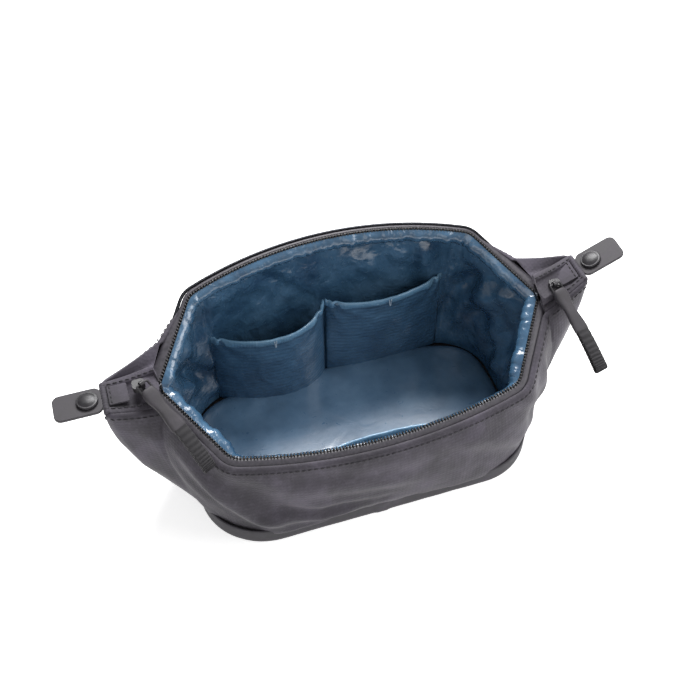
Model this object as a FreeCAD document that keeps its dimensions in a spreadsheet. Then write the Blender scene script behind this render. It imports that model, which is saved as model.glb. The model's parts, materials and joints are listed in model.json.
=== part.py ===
import FreeCAD, Part
import math
import os
import Sketcher
from FreeCAD import Placement, Rotation, Vector

# A wide-mouth shaving kit bag. Two spring-steel wires, pinned at both ends of the mouth, hold the
# zip open flat. Millimetres, +Z up, +X along the bag, origin at the middle of the base's underside.

doc = FreeCAD.newDocument("shaving_kit_bag")
sheet = doc.addObject("Spreadsheet::Sheet", "sizes")

SIZES = {
    # base
    "base_length": 262, "base_depth": 148, "base_corner": 50,
    "panel_thickness": 1.6, "board_thickness": 2, "pad_thickness": 5, "pad_corner_inset": 1,
    "strip_height": 14, "strip_thickness": 1.4, "strip_overlap": 12, "strip_seam": -10,
    # walls and lining
    "waist_height": 60, "waist_length": 296, "waist_depth": 154, "waist_corner": 64,
    "top_length": 306, "top_depth": 148, "top_corner": 60,
    "wall_thickness": 2, "lining_thickness": 1.2, "layer_gap": 0.4, "panel_split": 108,
    "rim_drop": 8,
    # mouth frames
    "hinge_height": 114, "mouth_half": 143, "mouth_tilt": 26.6,
    "leg_reach": 60, "leg_inset": 36, "corner_bend": 14, "front_bow": 14, "back_bow": 20,
    "wire_diameter": 2.5, "casing_thickness": 0.3, "casing_play": 0.1,
    "pin_diameter": 4.2, "pin_play": 0.05, "front_eye": 144.5, "eye_pitch": 4.4, "pin_head": 1.2,
    "pin_spare": 2.2,
    "coil_diameter": 1.7, "tape_width": 6.5, "tape_thickness": 0.8, "tape_start": 12,
    "layer_sink": 0.3, "tape_play": 0.05,
    # wings, tabs and snaps
    "fold_line": 160.5, "fold_rise": 2, "wing_length": 16, "wing_width": 26, "wing_thickness": 2,
    "patch_length": 13, "patch_width": 17, "patch_thickness": 0.8, "piping_diameter": 4.8,
    "tab_gap": 0.6, "tab_length": 31.5, "tab_width": 22, "tab_thickness": 2.2, "tab_corner": 6,
    "cap_diameter": 15, "cap_height": 3.4, "cap_inset": 8.4, "cap_edge": 1.4,
    "stud_diameter": 4, "stud_flange": 10, "stud_length": 2.4, "stud_flange_thickness": 0.8,
    "socket_height": 36, "socket_diameter": 12, "socket_thickness": 2.4, "socket_play": 0.15,
    "left_wing_lift": 0, "right_wing_lift": 26, "left_wing_shift": 0, "right_wing_shift": 8,
    "left_tab_lift": 0, "right_tab_lift": 0,
    # sliders and pulls
    "slider_length": 8.5, "slider_width": 8.5, "slider_thickness": 4.2, "slider_corner": 2.5,
    "slider_gap": 5, "slider_end": 150.8,
    "lug_width": 3, "lug_diameter": 4, "lug_rise": 2.2, "lug_forward": 2.6, "lug_sink": 0.4,
    "bail_wire": 1.6, "bail_length": 8, "bail_width": 9, "bail_bend": 1.4, "bail_play": 0.25,
    "left_pull_yaw": -60, "right_pull_yaw": -76, "pull_pitch": 27,
    "sleeve_length": 35, "sleeve_width": 12, "sleeve_thickness": 5, "sleeve_waist": 1.6,
    "webbing_width": 10, "webbing_thickness": 1.5, "webbing_space": 3, "loop_length": 30,
    # pockets
    "pocket_left_end": -96, "pocket_divider": -5, "pocket_right_end": 92, "pocket_height": 96,
    "pocket_dip": 20, "left_pocket_bulge": 26, "right_pocket_bulge": 15, "pocket_thickness": 1.2,
    "pocket_clear": 3.4, "binding_height": 6, "binding_proud": 0.5,
    "slip_left_end": -60, "slip_right_end": 80, "slip_height": 70, "slip_bulge": 10, "slip_dip": 8,
    "tag_width": 20, "tag_height": 16, "tag_thickness": 0.8, "tag_place": 25, "tag_top": 72,
}
for row, (alias, value) in enumerate(SIZES.items(), start=1):
    sheet.set(f"A{row}", alias)
    sheet.set(f"B{row}", str(value))
    sheet.setAlias(f"B{row}", alias)
doc.recompute()

nodes = []


def size(name):
    return float(sheet.get(name))


def keep(node, made):
    """Names an object as one of the bag's sub-parts."""
    made.Label = node
    nodes.append(made)
    return made


def solid(node, shape, place=None):
    """A sub-part whose shape is worked out here from the sheet's sizes."""
    made = doc.addObject("Part::Feature", node)
    made.Shape = shape
    if place is not None:
        made.Placement = place
    return keep(node, made)


# ---------------------------------------------------------------- sketches and pads

def origin_plane(body, role):
    return next(f for f in body.Origin.OriginFeatures if f.Role == role)


def new_body(node):
    return keep(node, doc.addObject("PartDesign::Body", node))


def new_sketch(body, name, role="XY_Plane"):
    sketch = body.newObject("Sketcher::SketchObject", name)
    sketch.AttachmentSupport = (origin_plane(body, role), [""])
    sketch.MapMode = "FlatFace"
    return sketch


def bind(sketch, kind, places, value, expression):
    """A distance constraint whose value comes from the sheet."""
    index = sketch.addConstraint(Sketcher.Constraint(kind, *places, value))
    sketch.setExpression(f"Constraints[{index}]", expression)


def rectangle(sketch, length, depth, start=None):
    """A rectangle of the given expressions, centred on Y; on X it is centred or begins at start."""
    a, b = 20.0, 10.0
    corners = [Vector(-a, -b, 0), Vector(a, -b, 0), Vector(a, b, 0), Vector(-a, b, 0)]
    for i in range(4):
        sketch.addGeometry(Part.LineSegment(corners[i], corners[(i + 1) % 4]), False)
    for i in range(4):
        sketch.addConstraint(Sketcher.Constraint("Coincident", i, 2, (i + 1) % 4, 1))
    for i in (0, 2):
        sketch.addConstraint(Sketcher.Constraint("Horizontal", i))
    sketch.addConstraint(Sketcher.Constraint("Vertical", 1))
    bind(sketch, "DistanceX", (0, 1, 0, 2), 2 * a, length)
    bind(sketch, "DistanceY", (1, 1, 1, 2), 2 * b, depth)
    if start is None:
        sketch.addConstraint(Sketcher.Constraint("Vertical", 3))
        sketch.addConstraint(Sketcher.Constraint("Symmetric", 0, 1, 1, 2, -1, 1))
        return
    sketch.addConstraint(Sketcher.Constraint("Symmetric", 3, 2, 3, 1, -1))
    bind(sketch, "DistanceX", (-1, 1, 3, 2), 1.0, start)


def pad(body, sketch, height):
    made = body.newObject("PartDesign::Pad", body.Name + "_pad")
    made.Profile = sketch
    made.setExpression("Length", height)
    sketch.Visibility = False
    doc.recompute()
    return made


def upright_edges(shape):
    """Names of the straight edges that run along Z."""
    names = []
    for i, edge in enumerate(shape.Edges, start=1):
        run = edge.Vertexes[-1].Point - edge.Vertexes[0].Point
        if run.Length > 0 and abs(run.z) > 0.999 * run.Length:
            names.append(f"Edge{i}")
    return names


def round_upright(body, feature, radius, names=None):
    made = body.newObject("PartDesign::Fillet", body.Name + "_corners")
    made.Base = (feature, names or upright_edges(feature.Shape))
    made.setExpression("Radius", radius)
    doc.recompute()
    return made


def plate(node, length, depth, height, corner, lift):
    """A flat piece with rounded corners, lying level at height lift."""
    body = new_body(node)
    sketch = new_sketch(body, node + "_outline")
    rectangle(sketch, length, depth)
    round_upright(body, pad(body, sketch, height), corner)
    body.setExpression("Placement.Base.z", lift)
    return body


# ---------------------------------------------------------------- base

plate("base_panel", "sizes.base_length - 2 * (sizes.strip_thickness + sizes.layer_gap)",
      "sizes.base_depth - 2 * (sizes.strip_thickness + sizes.layer_gap)", "sizes.panel_thickness",
      "sizes.base_corner - sizes.strip_thickness - sizes.layer_gap", "0 mm")

INSIDE = "sizes.strip_thickness + 3 * sizes.layer_gap + sizes.wall_thickness + sizes.lining_thickness"
BOARD_TOP = "(sizes.panel_thickness + 2 * sizes.layer_gap + sizes.board_thickness)"
plate("base_board", f"sizes.base_length - 2 * ({INSIDE})", f"sizes.base_depth - 2 * ({INSIDE})",
      "sizes.board_thickness", f"sizes.base_corner - ({INSIDE})",
      "sizes.panel_thickness + sizes.layer_gap")
plate("floor_pad", f"sizes.base_length - 2 * ({INSIDE} + sizes.pad_corner_inset)",
      f"sizes.base_depth - 2 * ({INSIDE} + sizes.pad_corner_inset)", "sizes.pad_thickness",
      f"sizes.base_corner - ({INSIDE}) - sizes.pad_corner_inset", BOARD_TOP)


def outline(length, depth, corner, height, inset=0.0):
    """A rounded rectangle at one height, drawn in by inset."""
    a, b, r = length / 2 - inset, depth / 2 - inset, corner - inset
    c = r * math.sqrt(0.5)
    edges = []
    for sx, sy in ((1, 1), (-1, 1), (-1, -1), (1, -1)):
        middle = Vector(sx * (a - r), sy * (b - r), height)
        side, mid, end = Vector(sx * r, 0, 0), Vector(sx * c, sy * c, 0), Vector(0, sy * r, 0)
        if sx * sy < 0:
            side, end = end, side
        edges.append(Part.Arc(middle + side, middle + mid, middle + end).toShape())
    wires = []
    for i, edge in enumerate(edges):
        wires.append(edge)
        start, end = edge.Vertexes[-1].Point, edges[(i + 1) % 4].Vertexes[0].Point
        wires.append(Part.makeLine(start, end))
    return Part.Wire(wires)


def base_outline(height, inset):
    return outline(size("base_length"), size("base_depth"), size("base_corner"), height, inset)


def base_strip():
    """The rubbery band round the foot, its two ends lapped at the front."""
    outer = Part.Face(base_outline(0, 0)).extrude(Vector(0, 0, size("strip_height")))
    inner = Part.Face(base_outline(0, size("strip_thickness"))).extrude(
        Vector(0, 0, size("strip_height")))
    lap = Part.makeBox(size("strip_overlap"), size("strip_thickness"), size("strip_height"))
    lap.translate(Vector(size("strip_seam"), -size("base_depth") / 2 - size("strip_thickness"), 0))
    return outer.cut(inner).fuse(lap).removeSplitter()


solid("base_strip", base_strip())


# ---------------------------------------------------------------- walls and lining

def sections(inset, foot):
    """The bag's plan at the foot, strip top, waist and above the mouth, drawn in by inset."""
    low = size("strip_thickness") + size("layer_gap") + inset
    high = 2 * size("hinge_height")
    return [
        base_outline(foot, low),
        base_outline(size("strip_height") + 1, low),
        outline(size("waist_length"), size("waist_depth"), size("waist_corner"),
                size("waist_height"), inset),
        outline(size("top_length"), size("top_depth"), size("top_corner"),
                size("hinge_height"), inset),
        outline(size("top_length"), size("top_depth"), size("top_corner"), high, inset),
    ]


def mouth_place():
    """Puts local X along the pins and local Y up the tilted mouth towards the back."""
    return Placement(Vector(0, 0, size("hinge_height")), Rotation(Vector(1, 0, 0), size("mouth_tilt")))


def below_mouth(drop):
    reach = 2 * size("base_length")
    block = Part.makeBox(2 * reach, 2 * reach, reach, Vector(-reach, -reach, -reach - drop))
    block.Placement = mouth_place()
    return block


def skin(inset, thickness, foot):
    """The bag's sides as one closed band of even thickness, open at the foot and the mouth."""
    outer = Part.makeLoft(sections(inset, foot), True, True)
    inner = Part.makeLoft(sections(inset + thickness, foot), True, True)
    return outer.cut(inner).common(below_mouth(size("rim_drop")))


def quarter(side, foot):
    """The space of one of the four side panels, a gap apart at the upright seams."""
    reach, tall = size("base_length"), 2 * size("base_length")
    seam = size("panel_split")
    gap = size("layer_gap") / 2
    if side in ("front", "back"):
        block = Part.makeBox(2 * (seam - gap), reach, tall, Vector(-seam + gap, 0, foot - 1))
        if side == "front":
            block.rotate(Vector(0, 0, 0), Vector(0, 0, 1), 180)
        return block
    block = Part.makeBox(reach, 2 * reach, tall, Vector(seam + gap, -reach, foot - 1))
    if side == "left_end":
        block.rotate(Vector(0, 0, 0), Vector(0, 0, 1), 180)
    return block


wall_foot = size("panel_thickness") + size("layer_gap")
wall_band = skin(0, size("wall_thickness"), wall_foot)
lining_inset = size("wall_thickness") + size("layer_gap")
lining_band = skin(lining_inset, size("lining_thickness"), wall_foot)
for side in ("front", "back", "left_end", "right_end"):
    solid(side + "_wall", wall_band.common(quarter(side, 0)))
    solid(side + "_lining", lining_band.common(quarter(side, 0)))


# ---------------------------------------------------------------- mouth frames

def mouth_line(bow, out, start):
    """Half of the zip's line, drawn outward by out, from start above the pins to the middle."""
    corner = Vector(size("mouth_half") - size("leg_inset"), size("leg_reach"), 0)
    foot = Vector(size("mouth_half"), 0, 0)
    along = (corner - foot).normalize()
    inward = Vector(-along.y, along.x, 0)
    radius = (corner.x ** 2 + bow ** 2) / (2 * bow)
    centre = Vector(0, corner.y + bow - radius, 0)
    bend = size("corner_bend")
    # the corner arc's centre lies one bend inside both the leg and the rail
    away = foot + inward * bend - centre
    b, c = away.dot(along), away.dot(away) - (radius - bend) ** 2
    turn = foot + inward * bend + along * (-b + math.sqrt(b * b - c))
    to_rail = (turn - centre).normalize()
    leg_end = turn - inward * (bend + out)
    rail_start = turn + to_rail * (bend + out)
    middle_way = (to_rail - inward).normalize()
    leg_start = leg_end - along * ((leg_end.y - start) / along.y)
    top = centre + Vector(0, radius + out, 0)
    half_way = (to_rail + Vector(0, 1, 0)).normalize()
    return [
        Part.makeLine(leg_start, leg_end),
        Part.Arc(leg_end, turn + middle_way * (bend + out), rail_start).toShape(),
        Part.Arc(rail_start, centre + half_way * (radius + out), top).toShape(),
    ]


def whole_line(bow, out, start):
    """The full line from one end of the mouth to the other."""
    half = mouth_line(bow, out, start)
    mirrored = [e.mirror(Vector(0, 0, 0), Vector(1, 0, 0)) for e in half]
    return Part.Wire(Part.__sortEdges__(half + mirrored))


def swept_rod(path, radius, lift):
    """A round rod along a level path, lift above it."""
    path = path.copy()
    path.translate(Vector(0, 0, lift))
    ends = [v.Point for v in path.OrderedVertexes]
    first = path.OrderedEdges[0]
    along = (ends[1] - ends[0]).normalize()
    profile = Part.Wire(Part.makeCircle(radius, ends[0], along))
    return path.makePipeShell([profile], True, False)


def band(bow, inner, outer, start, low, thickness):
    """A flat band between two lines of the mouth."""
    inside = whole_line(bow, inner, start)
    outside = whole_line(bow, outer, start)
    a, b = [v.Point for v in inside.OrderedVertexes], [v.Point for v in outside.OrderedVertexes]
    if (a[0] - b[0]).Length > (a[0] - b[-1]).Length:
        b.reverse()
    closed = Part.Wire(Part.__sortEdges__(
        inside.Edges + outside.Edges + [Part.makeLine(a[0], b[0]), Part.makeLine(a[-1], b[-1])]))
    face = Part.Face(closed)
    face.translate(Vector(0, 0, low))
    return face.extrude(Vector(0, 0, thickness))


def frame_place(side):
    """The back frame lies up the mouth; the front one is its half-turn about the upright."""
    place = mouth_place()
    if side == "front":
        place = place.multiply(Placement(Vector(0, 0, 0), Rotation(Vector(0, 0, 1), 180)))
    return place


def eye_place(side):
    return size("front_eye") + (size("eye_pitch") if side == "back" else 0)


def eye_radius():
    """Centre line of the wire's turned eye, running on the pin."""
    return size("pin_diameter") / 2 + size("pin_play") + size("wire_diameter") / 2


def wire_out(side):
    """How far outside the zip the wire runs, so that its leg meets its eye."""
    lean = math.hypot(size("leg_reach"), size("leg_inset")) / size("leg_reach")
    return (eye_place(side) - size("mouth_half")) / lean


def frame_wire(side):
    """One spring-steel wire: two legs, a bowed rail and an eye turned at each foot."""
    radius = size("wire_diameter") / 2
    rod = swept_rod(whole_line(size(side + "_bow"), wire_out(side), 0), radius, -eye_radius())
    for end in (-1, 1):
        at = Vector(end * eye_place(side), 0, 0)
        rod = rod.fuse(Part.makeTorus(eye_radius(), radius, at, Vector(1, 0, 0)))
    return rod


def wire_casing(side):
    """The sewn channel that the wire runs in."""
    bore = size("wire_diameter") / 2 + size("casing_play")
    start = size("tape_start")
    line = whole_line(size(side + "_bow"), wire_out(side), start)
    outer = swept_rod(line, bore + size("casing_thickness"), -eye_radius())
    return outer.cut(swept_rod(line, bore, -eye_radius()))


def casing_top():
    return eye_radius() - size("wire_diameter") / 2 - size("casing_play") - size("casing_thickness")


for side in ("front", "back"):
    bow, place = size(side + "_bow"), frame_place(side)
    coil = size("coil_diameter") / 2
    solid(side + "_frame_wire", frame_wire(side), place)
    solid(side + "_wire_casing", wire_casing(side), place)
    solid(side + "_zip_coil",
          swept_rod(whole_line(bow, 0, size("tape_start")), coil, -coil - size("layer_sink")), place)
    solid(side + "_zip_tape",
          band(bow, coil, size("tape_width"), size("tape_start"),
               size("tape_play") - casing_top(), size("tape_thickness")), place)


# ---------------------------------------------------------------- hinge pins

def turned(node, steps, place):
    """A stack of discs on local Z: each step is (radius, from, to), all expressions."""
    fused = None
    for i, (radius, low, high) in enumerate(steps):
        disc = doc.addObject("Part::Cylinder", f"{node}_step{i}")
        disc.setExpression("Radius", radius)
        disc.setExpression("Height", f"({high}) - ({low})")
        disc.setExpression("Placement.Base.z", low)
        if fused is None:
            fused = disc
            continue
        joined = doc.addObject("Part::Fuse", f"{node}_join{i}")
        joined.Base, joined.Tool = fused, disc
        fused = joined
    doc.recompute()
    fused.Placement = place
    return keep(node, fused)


def towards(axis):
    return Rotation(Vector(0, 0, 1), axis)


for name, sign in (("left", -1), ("right", 1)):
    inner = size("front_eye") - size("wire_diameter") / 2 - size("pin_spare")
    turned(name + "_hinge_pin",
           [("sizes.pin_diameter / 2 + sizes.pin_head", "-sizes.pin_head", "0"),
            ("sizes.pin_diameter / 2", "0",
             "sizes.pin_spare + sizes.eye_pitch + sizes.wire_diameter + sizes.pin_head")],
           Placement(Vector(sign * inner, 0, size("hinge_height")), towards(Vector(sign, 0, 0))))


# ---------------------------------------------------------------- wings, tabs and snaps

def side_place(sign, out, back, height, lift):
    """Local X points away from the bag's middle on either side, tipped up by lift."""
    turn = Rotation(Vector(0, 0, 1), 0 if sign > 0 else 180)
    return Placement(Vector(sign * out, back, height), turn.multiply(Rotation(Vector(0, 1, 0), -lift)))


def strap(node, start, length, width, low, thickness, place, corner=None):
    """A flat piece that runs out along local X from start."""
    body = new_body(node)
    sketch = new_sketch(body, node + "_outline")
    rectangle(sketch, length, width, start)
    last = pad(body, sketch, thickness)
    if corner:
        outer = [n for n in upright_edges(last.Shape)
                 if last.Shape.getElement(n).Vertexes[0].X > last.Shape.BoundBox.Center.x]
        round_upright(body, last, corner, outer)
    body.Placement = place.multiply(Placement(Vector(0, 0, low), Rotation()))
    return body


for name, sign in (("left", -1), ("right", 1)):
    tab_lift = size(name + "_tab_lift")
    wing = side_place(sign, size("fold_line"), size(name + "_wing_shift"),
                      size("hinge_height") + size("fold_rise"), size(name + "_wing_lift"))
    half = size("wing_thickness") / 2
    strap(name + "_wing_panel", "sizes.layer_gap * 2", "sizes.wing_length - 2 * sizes.layer_gap",
          "sizes.wing_width", -half, "sizes.wing_thickness", wing)
    strap(name + "_wing_patch", "sizes.layer_gap * 3", "sizes.patch_length", "sizes.patch_width", half,
          "sizes.patch_thickness", wing)
    piping = doc.addObject("Part::Cylinder", name + "_wing_piping")
    piping.setExpression("Radius", "sizes.piping_diameter / 2")
    piping.setExpression("Height", "sizes.wing_width")
    lie = Placement(Vector(size("wing_length") + size("piping_diameter") / 2, size("wing_width") / 2, 0),
                    Rotation(Vector(1, 0, 0), 90))
    piping.Placement = wing.multiply(lie)
    keep(name + "_wing_piping", piping)

    tab_root = size("wing_length") + size("piping_diameter") + size("tab_gap")
    tab = wing.multiply(Placement(Vector(tab_root, 0, 0), Rotation(Vector(0, 1, 0), -tab_lift)))
    thick = size("tab_thickness") / 2
    strap(name + "_tab", "sizes.tab_gap", "sizes.tab_length - sizes.tab_gap", "sizes.tab_width", -thick,
          "sizes.tab_thickness", tab, "sizes.tab_corner")
    at_cap = tab.multiply(Placement(Vector(size("cap_inset"), 0, thick), Rotation()))
    turned(name + "_snap_cap",
           [("sizes.cap_diameter / 2", "0", "sizes.cap_height - sizes.cap_edge"),
            ("sizes.cap_diameter / 2 - sizes.cap_edge", "0", "sizes.cap_height")], at_cap)
    at_stud = tab.multiply(Placement(Vector(size("cap_inset"), 0, -thick), Rotation(Vector(1, 0, 0), 180)))
    turned(name + "_snap_stud",
           [("sizes.stud_flange / 2", "0", "sizes.stud_flange_thickness"),
            ("sizes.stud_diameter / 2", "0", "sizes.stud_length")], at_stud)


def wall_reach(height):
    """How far out the end wall stands at a height between the strip and the hinge."""
    low, mid, top = size("strip_height") + 1, size("waist_height"), size("hinge_height")
    foot = size("base_length") / 2 - size("strip_thickness") - size("layer_gap")
    waist, brim = size("waist_length") / 2, size("top_length") / 2
    if height < mid:
        return foot + (waist - foot) * (height - low) / (mid - low)
    return waist + (brim - waist) * (height - mid) / (top - mid)


for name, sign in (("left", -1), ("right", 1)):
    socket = doc.addObject("Part::Cylinder", name + "_socket_disc")
    socket.setExpression("Radius", "sizes.socket_diameter / 2")
    socket.setExpression("Height", "sizes.socket_thickness")
    well = doc.addObject("Part::Cylinder", name + "_socket_well")
    well.setExpression("Radius", "sizes.stud_diameter / 2 + sizes.socket_play")
    well.setExpression("Height", "sizes.socket_thickness")
    well.setExpression("Placement.Base.z", "sizes.socket_thickness / 4")
    made = doc.addObject("Part::Cut", name + "_snap_socket")
    made.Base, made.Tool = socket, well
    doc.recompute()
    low = size("socket_height") - size("socket_diameter") / 2
    high = size("socket_height") + size("socket_diameter") / 2
    slope = math.atan2(wall_reach(high) - wall_reach(low), high - low)
    normal = Vector(sign * math.cos(slope), 0, -math.sin(slope))
    foot = Vector(sign * wall_reach(size("socket_height")), 0, size("socket_height"))
    made.Placement = Placement(foot + normal * size("socket_play"), towards(normal))
    keep(name + "_snap_socket", made)


# ---------------------------------------------------------------- sliders and pulls

def pull_place(name, sign):
    """Local X runs down the pull from the slider's lug; local Y is the bail's bars."""
    yaw = Rotation(Vector(0, 0, 1), size(name + "_pull_yaw"))
    pitch = Rotation(Vector(0, 1, 0), size("pull_pitch"))
    out = size("slider_end") + size("lug_diameter") / 2
    lift = size("slider_gap") + size("slider_thickness") + size("lug_rise")
    at = Vector(sign * out, -size("lug_forward"), size("hinge_height") + lift)
    return Placement(at, yaw.multiply(pitch))


def slider(name, sign):
    """Slider body with a drilled lug on top, square to the pull."""
    length, width, thick = size("slider_length"), size("slider_width"), size("slider_thickness")
    block = Part.makeBox(length, width, thick, Vector(-length / 2, -width / 2, 0))
    uprights = [e for e in block.Edges if abs(e.Vertexes[0].Z - e.Vertexes[1].Z) > thick / 2]
    block = block.makeFillet(size("slider_corner"), uprights)
    middle = size("slider_end") + length / 2
    block.translate(Vector(sign * middle, 0, size("hinge_height") + size("slider_gap")))
    place = pull_place(name, sign)
    lug_width = size("lug_width")
    axis = place.Rotation.multVec(Vector(0, 1, 0))
    start = place.Base - axis * (lug_width / 2)
    lug = Part.makeCylinder(size("lug_diameter") / 2, lug_width, start, axis)
    tall = size("lug_rise") + size("lug_sink")
    post = Part.makeBox(size("lug_diameter"), lug_width, tall,
                        Vector(-size("lug_diameter") / 2, -lug_width / 2, -tall))
    post.Placement = Placement(place.Base, Rotation(Vector(0, 0, 1), size(name + "_pull_yaw")))
    hole = Part.makeCylinder(size("bail_wire") / 2 + size("bail_play"), 3 * lug_width,
                             place.Base - axis * (1.5 * lug_width), axis)
    return block.fuse(lug).fuse(post).cut(hole).removeSplitter()


def bail():
    """A closed wire link: one bar in the slider's lug, the other in the sleeve's eye."""
    length, half, bend = size("bail_length"), size("bail_width") / 2, size("bail_bend")
    short = bend * (1 - math.sqrt(0.5))
    straight = [Part.makeLine(Vector(0, bend - half, 0), Vector(0, half - bend, 0)),
                Part.makeLine(Vector(bend, half, 0), Vector(length - bend, half, 0)),
                Part.makeLine(Vector(length, half - bend, 0), Vector(length, bend - half, 0)),
                Part.makeLine(Vector(length - bend, -half, 0), Vector(bend, -half, 0))]
    turns = []
    for end, inward in ((0, 1), (length, -1)):
        for side in (-1, 1):
            turns.append(Part.Arc(Vector(end, side * (half - bend), 0),
                                  Vector(end + inward * short, side * (half - short), 0),
                                  Vector(end + inward * bend, side * half, 0)).toShape())
    path = Part.Wire(Part.__sortEdges__(straight + turns))
    first = path.OrderedEdges[0]
    along = first.tangentAt(first.FirstParameter)
    ring = Part.Wire(Part.makeCircle(size("bail_wire") / 2, path.OrderedVertexes[0].Point, along))
    return path.makePipeShell([ring], True, False)


def sleeve():
    """Moulded grip, waisted in the middle, with an eye for the bail at its top end."""
    length, half, dent = size("sleeve_length"), size("sleeve_width") / 2, size("sleeve_waist")
    start = size("bail_length") - size("sleeve_width") / 4
    end, middle = start + length, start + length / 2
    edge = size("bail_width") / 2 - size("bail_wire") / 2 - size("bail_play")
    shoulder = size("bail_wire") + start + size("bail_length") / 4
    outline = [Part.makeLine(Vector(start, -edge, 0), Vector(start, edge, 0)),
               Part.makeLine(Vector(start, edge, 0), Vector(shoulder, edge, 0)),
               Part.makeLine(Vector(shoulder, edge, 0), Vector(shoulder + half - edge, half, 0)),
               Part.Arc(Vector(shoulder + half - edge, half, 0), Vector(middle, half - dent, 0),
                        Vector(end, half, 0)).toShape(),
               Part.makeLine(Vector(end, half, 0), Vector(end, -half, 0)),
               Part.Arc(Vector(end, -half, 0), Vector(middle, -half + dent, 0),
                        Vector(shoulder + half - edge, -half, 0)).toShape(),
               Part.makeLine(Vector(shoulder + half - edge, -half, 0), Vector(shoulder, -edge, 0)),
               Part.makeLine(Vector(shoulder, -edge, 0), Vector(start, -edge, 0))]
    face = Part.Face(Part.Wire(Part.__sortEdges__(outline)))
    thick = size("sleeve_thickness")
    face.translate(Vector(0, 0, -thick / 2))
    made = face.extrude(Vector(0, 0, thick))
    eye = Part.makeCylinder(size("bail_wire") / 2 + size("bail_play"), 2 * size("sleeve_width"),
                            Vector(size("bail_length"), -size("sleeve_width"), 0), Vector(0, 1, 0))
    return made.cut(eye)


def webbing_loop():
    """A folded strip of webbing out of the sleeve's foot, its fold left open as a loop."""
    start = size("bail_length") - size("sleeve_width") / 4 + size("sleeve_length")
    width, thick, space = size("webbing_width"), size("webbing_thickness"), size("webbing_space")
    reach = size("loop_length")
    outer, inner = space / 2 + thick, space / 2
    fold = start + reach - outer

    def hoop(radius):
        turn = Part.Arc(Vector(fold, 0, -radius), Vector(fold + radius, 0, 0), Vector(fold, 0, radius))
        edges = [Part.makeLine(Vector(start, 0, -radius), Vector(fold, 0, -radius)),
                 turn.toShape(),
                 Part.makeLine(Vector(fold, 0, radius), Vector(start, 0, radius)),
                 Part.makeLine(Vector(start, 0, radius), Vector(start, 0, -radius))]
        face = Part.Face(Part.Wire(edges))
        face.translate(Vector(0, -width / 2, 0))
        return face.extrude(Vector(0, width, 0))

    return hoop(outer).cut(hoop(inner))


for name, sign in (("left", -1), ("right", 1)):
    place = pull_place(name, sign)
    solid(name + "_slider", slider(name, sign))
    solid(name + "_pull_bail", bail(), place)
    solid(name + "_pull_sleeve", sleeve(), place)
    solid(name + "_pull_webbing", webbing_loop(), place)


# ---------------------------------------------------------------- pockets and tag

def lining_face():
    """The least distance from the middle to the lining's inner face, front or back."""
    return (size("base_depth") / 2 - size("strip_thickness") - size("wall_thickness")
            - 2 * size("layer_gap") - size("lining_thickness"))


def bowed_plate(left, right, bulge, thickness, low, high, grow=0.0):
    """An upright panel that bows in from the back lining between its two sewn edges."""
    hang = lining_face() - size("pocket_clear")
    half, middle = (right - left) / 2, (right + left) / 2
    outer = [Vector(left - grow, hang, low), Vector(middle, hang - bulge - grow, low),
             Vector(right + grow, hang, low)]
    inner = [Vector(left + thickness + grow, hang, low),
             Vector(middle, hang - bulge + thickness + grow, low),
             Vector(right - thickness - grow, hang, low)]
    closed = Part.Wire([Part.Arc(*outer).toShape(), Part.makeLine(outer[2], inner[2]),
                        Part.Arc(inner[2], inner[1], inner[0]).toShape(),
                        Part.makeLine(inner[0], outer[0])])
    return Part.Face(closed).extrude(Vector(0, 0, high - low))


def dipped_top(left, right, high, dip, drop):
    """The space under a top edge that sags by dip in the middle, lowered by drop."""
    half, middle = (right - left) / 2 + 4, (right + left) / 2
    reach = 2 * size("base_depth")
    under = [Vector(middle - half, -reach / 2, -50), Vector(middle + half, -reach / 2, -50)]
    over = [Vector(middle + half, -reach / 2, high - drop), Vector(middle, -reach / 2, high - dip - drop),
            Vector(middle - half, -reach / 2, high - drop)]
    closed = Part.Wire([Part.makeLine(under[0], under[1]), Part.makeLine(under[1], over[0]),
                        Part.Arc(*over).toShape(), Part.makeLine(over[2], under[0])])
    return Part.Face(closed).extrude(Vector(0, reach, 0))


def pocket(node, left, right, bulge, high, dip, turn):
    """A sewn pocket panel and the elastic binding folded over its top edge."""
    low = size("panel_thickness") + 2 * size("layer_gap") + size("board_thickness") + size("pad_thickness")
    low = low + size("layer_gap")
    thick, proud, tall = size("pocket_thickness"), size("binding_proud"), size("binding_height")
    under_edge = dipped_top(left, right, high, dip, tall)
    panel = bowed_plate(left, right, bulge, thick, low, high).common(under_edge)
    thicker = bowed_plate(left, right, bulge, thick, low, high, proud)
    binding = thicker.common(dipped_top(left, right, high, dip, 0)).cut(under_edge)
    place = Placement(Vector(0, 0, 0), Rotation(Vector(0, 0, 1), turn))
    solid(node, panel, place)
    solid(node + "_binding", binding, place)


gap = size("layer_gap") + size("binding_proud")
pocket("left_back_pocket", size("pocket_left_end"), size("pocket_divider") - gap,
       size("left_pocket_bulge"), size("pocket_height"), size("pocket_dip"), 0)
pocket("right_back_pocket", size("pocket_divider") + gap, size("pocket_right_end"),
       size("right_pocket_bulge"), size("pocket_height"), size("pocket_dip"), 0)
pocket("front_slip_pocket", -size("slip_right_end"), -size("slip_left_end"), size("slip_bulge"),
       size("slip_height"), size("slip_dip"), 180)

tag = Part.makeBox(size("tag_width"), size("tag_thickness"), size("tag_height"))
tag_face = -lining_face() + size("pocket_clear")
solid("inner_tag", tag, Placement(
    Vector(size("tag_place") - size("tag_width") / 2, tag_face, size("tag_top") - size("tag_height")),
    Rotation()))


# ---------------------------------------------------------------- checks and files

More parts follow.
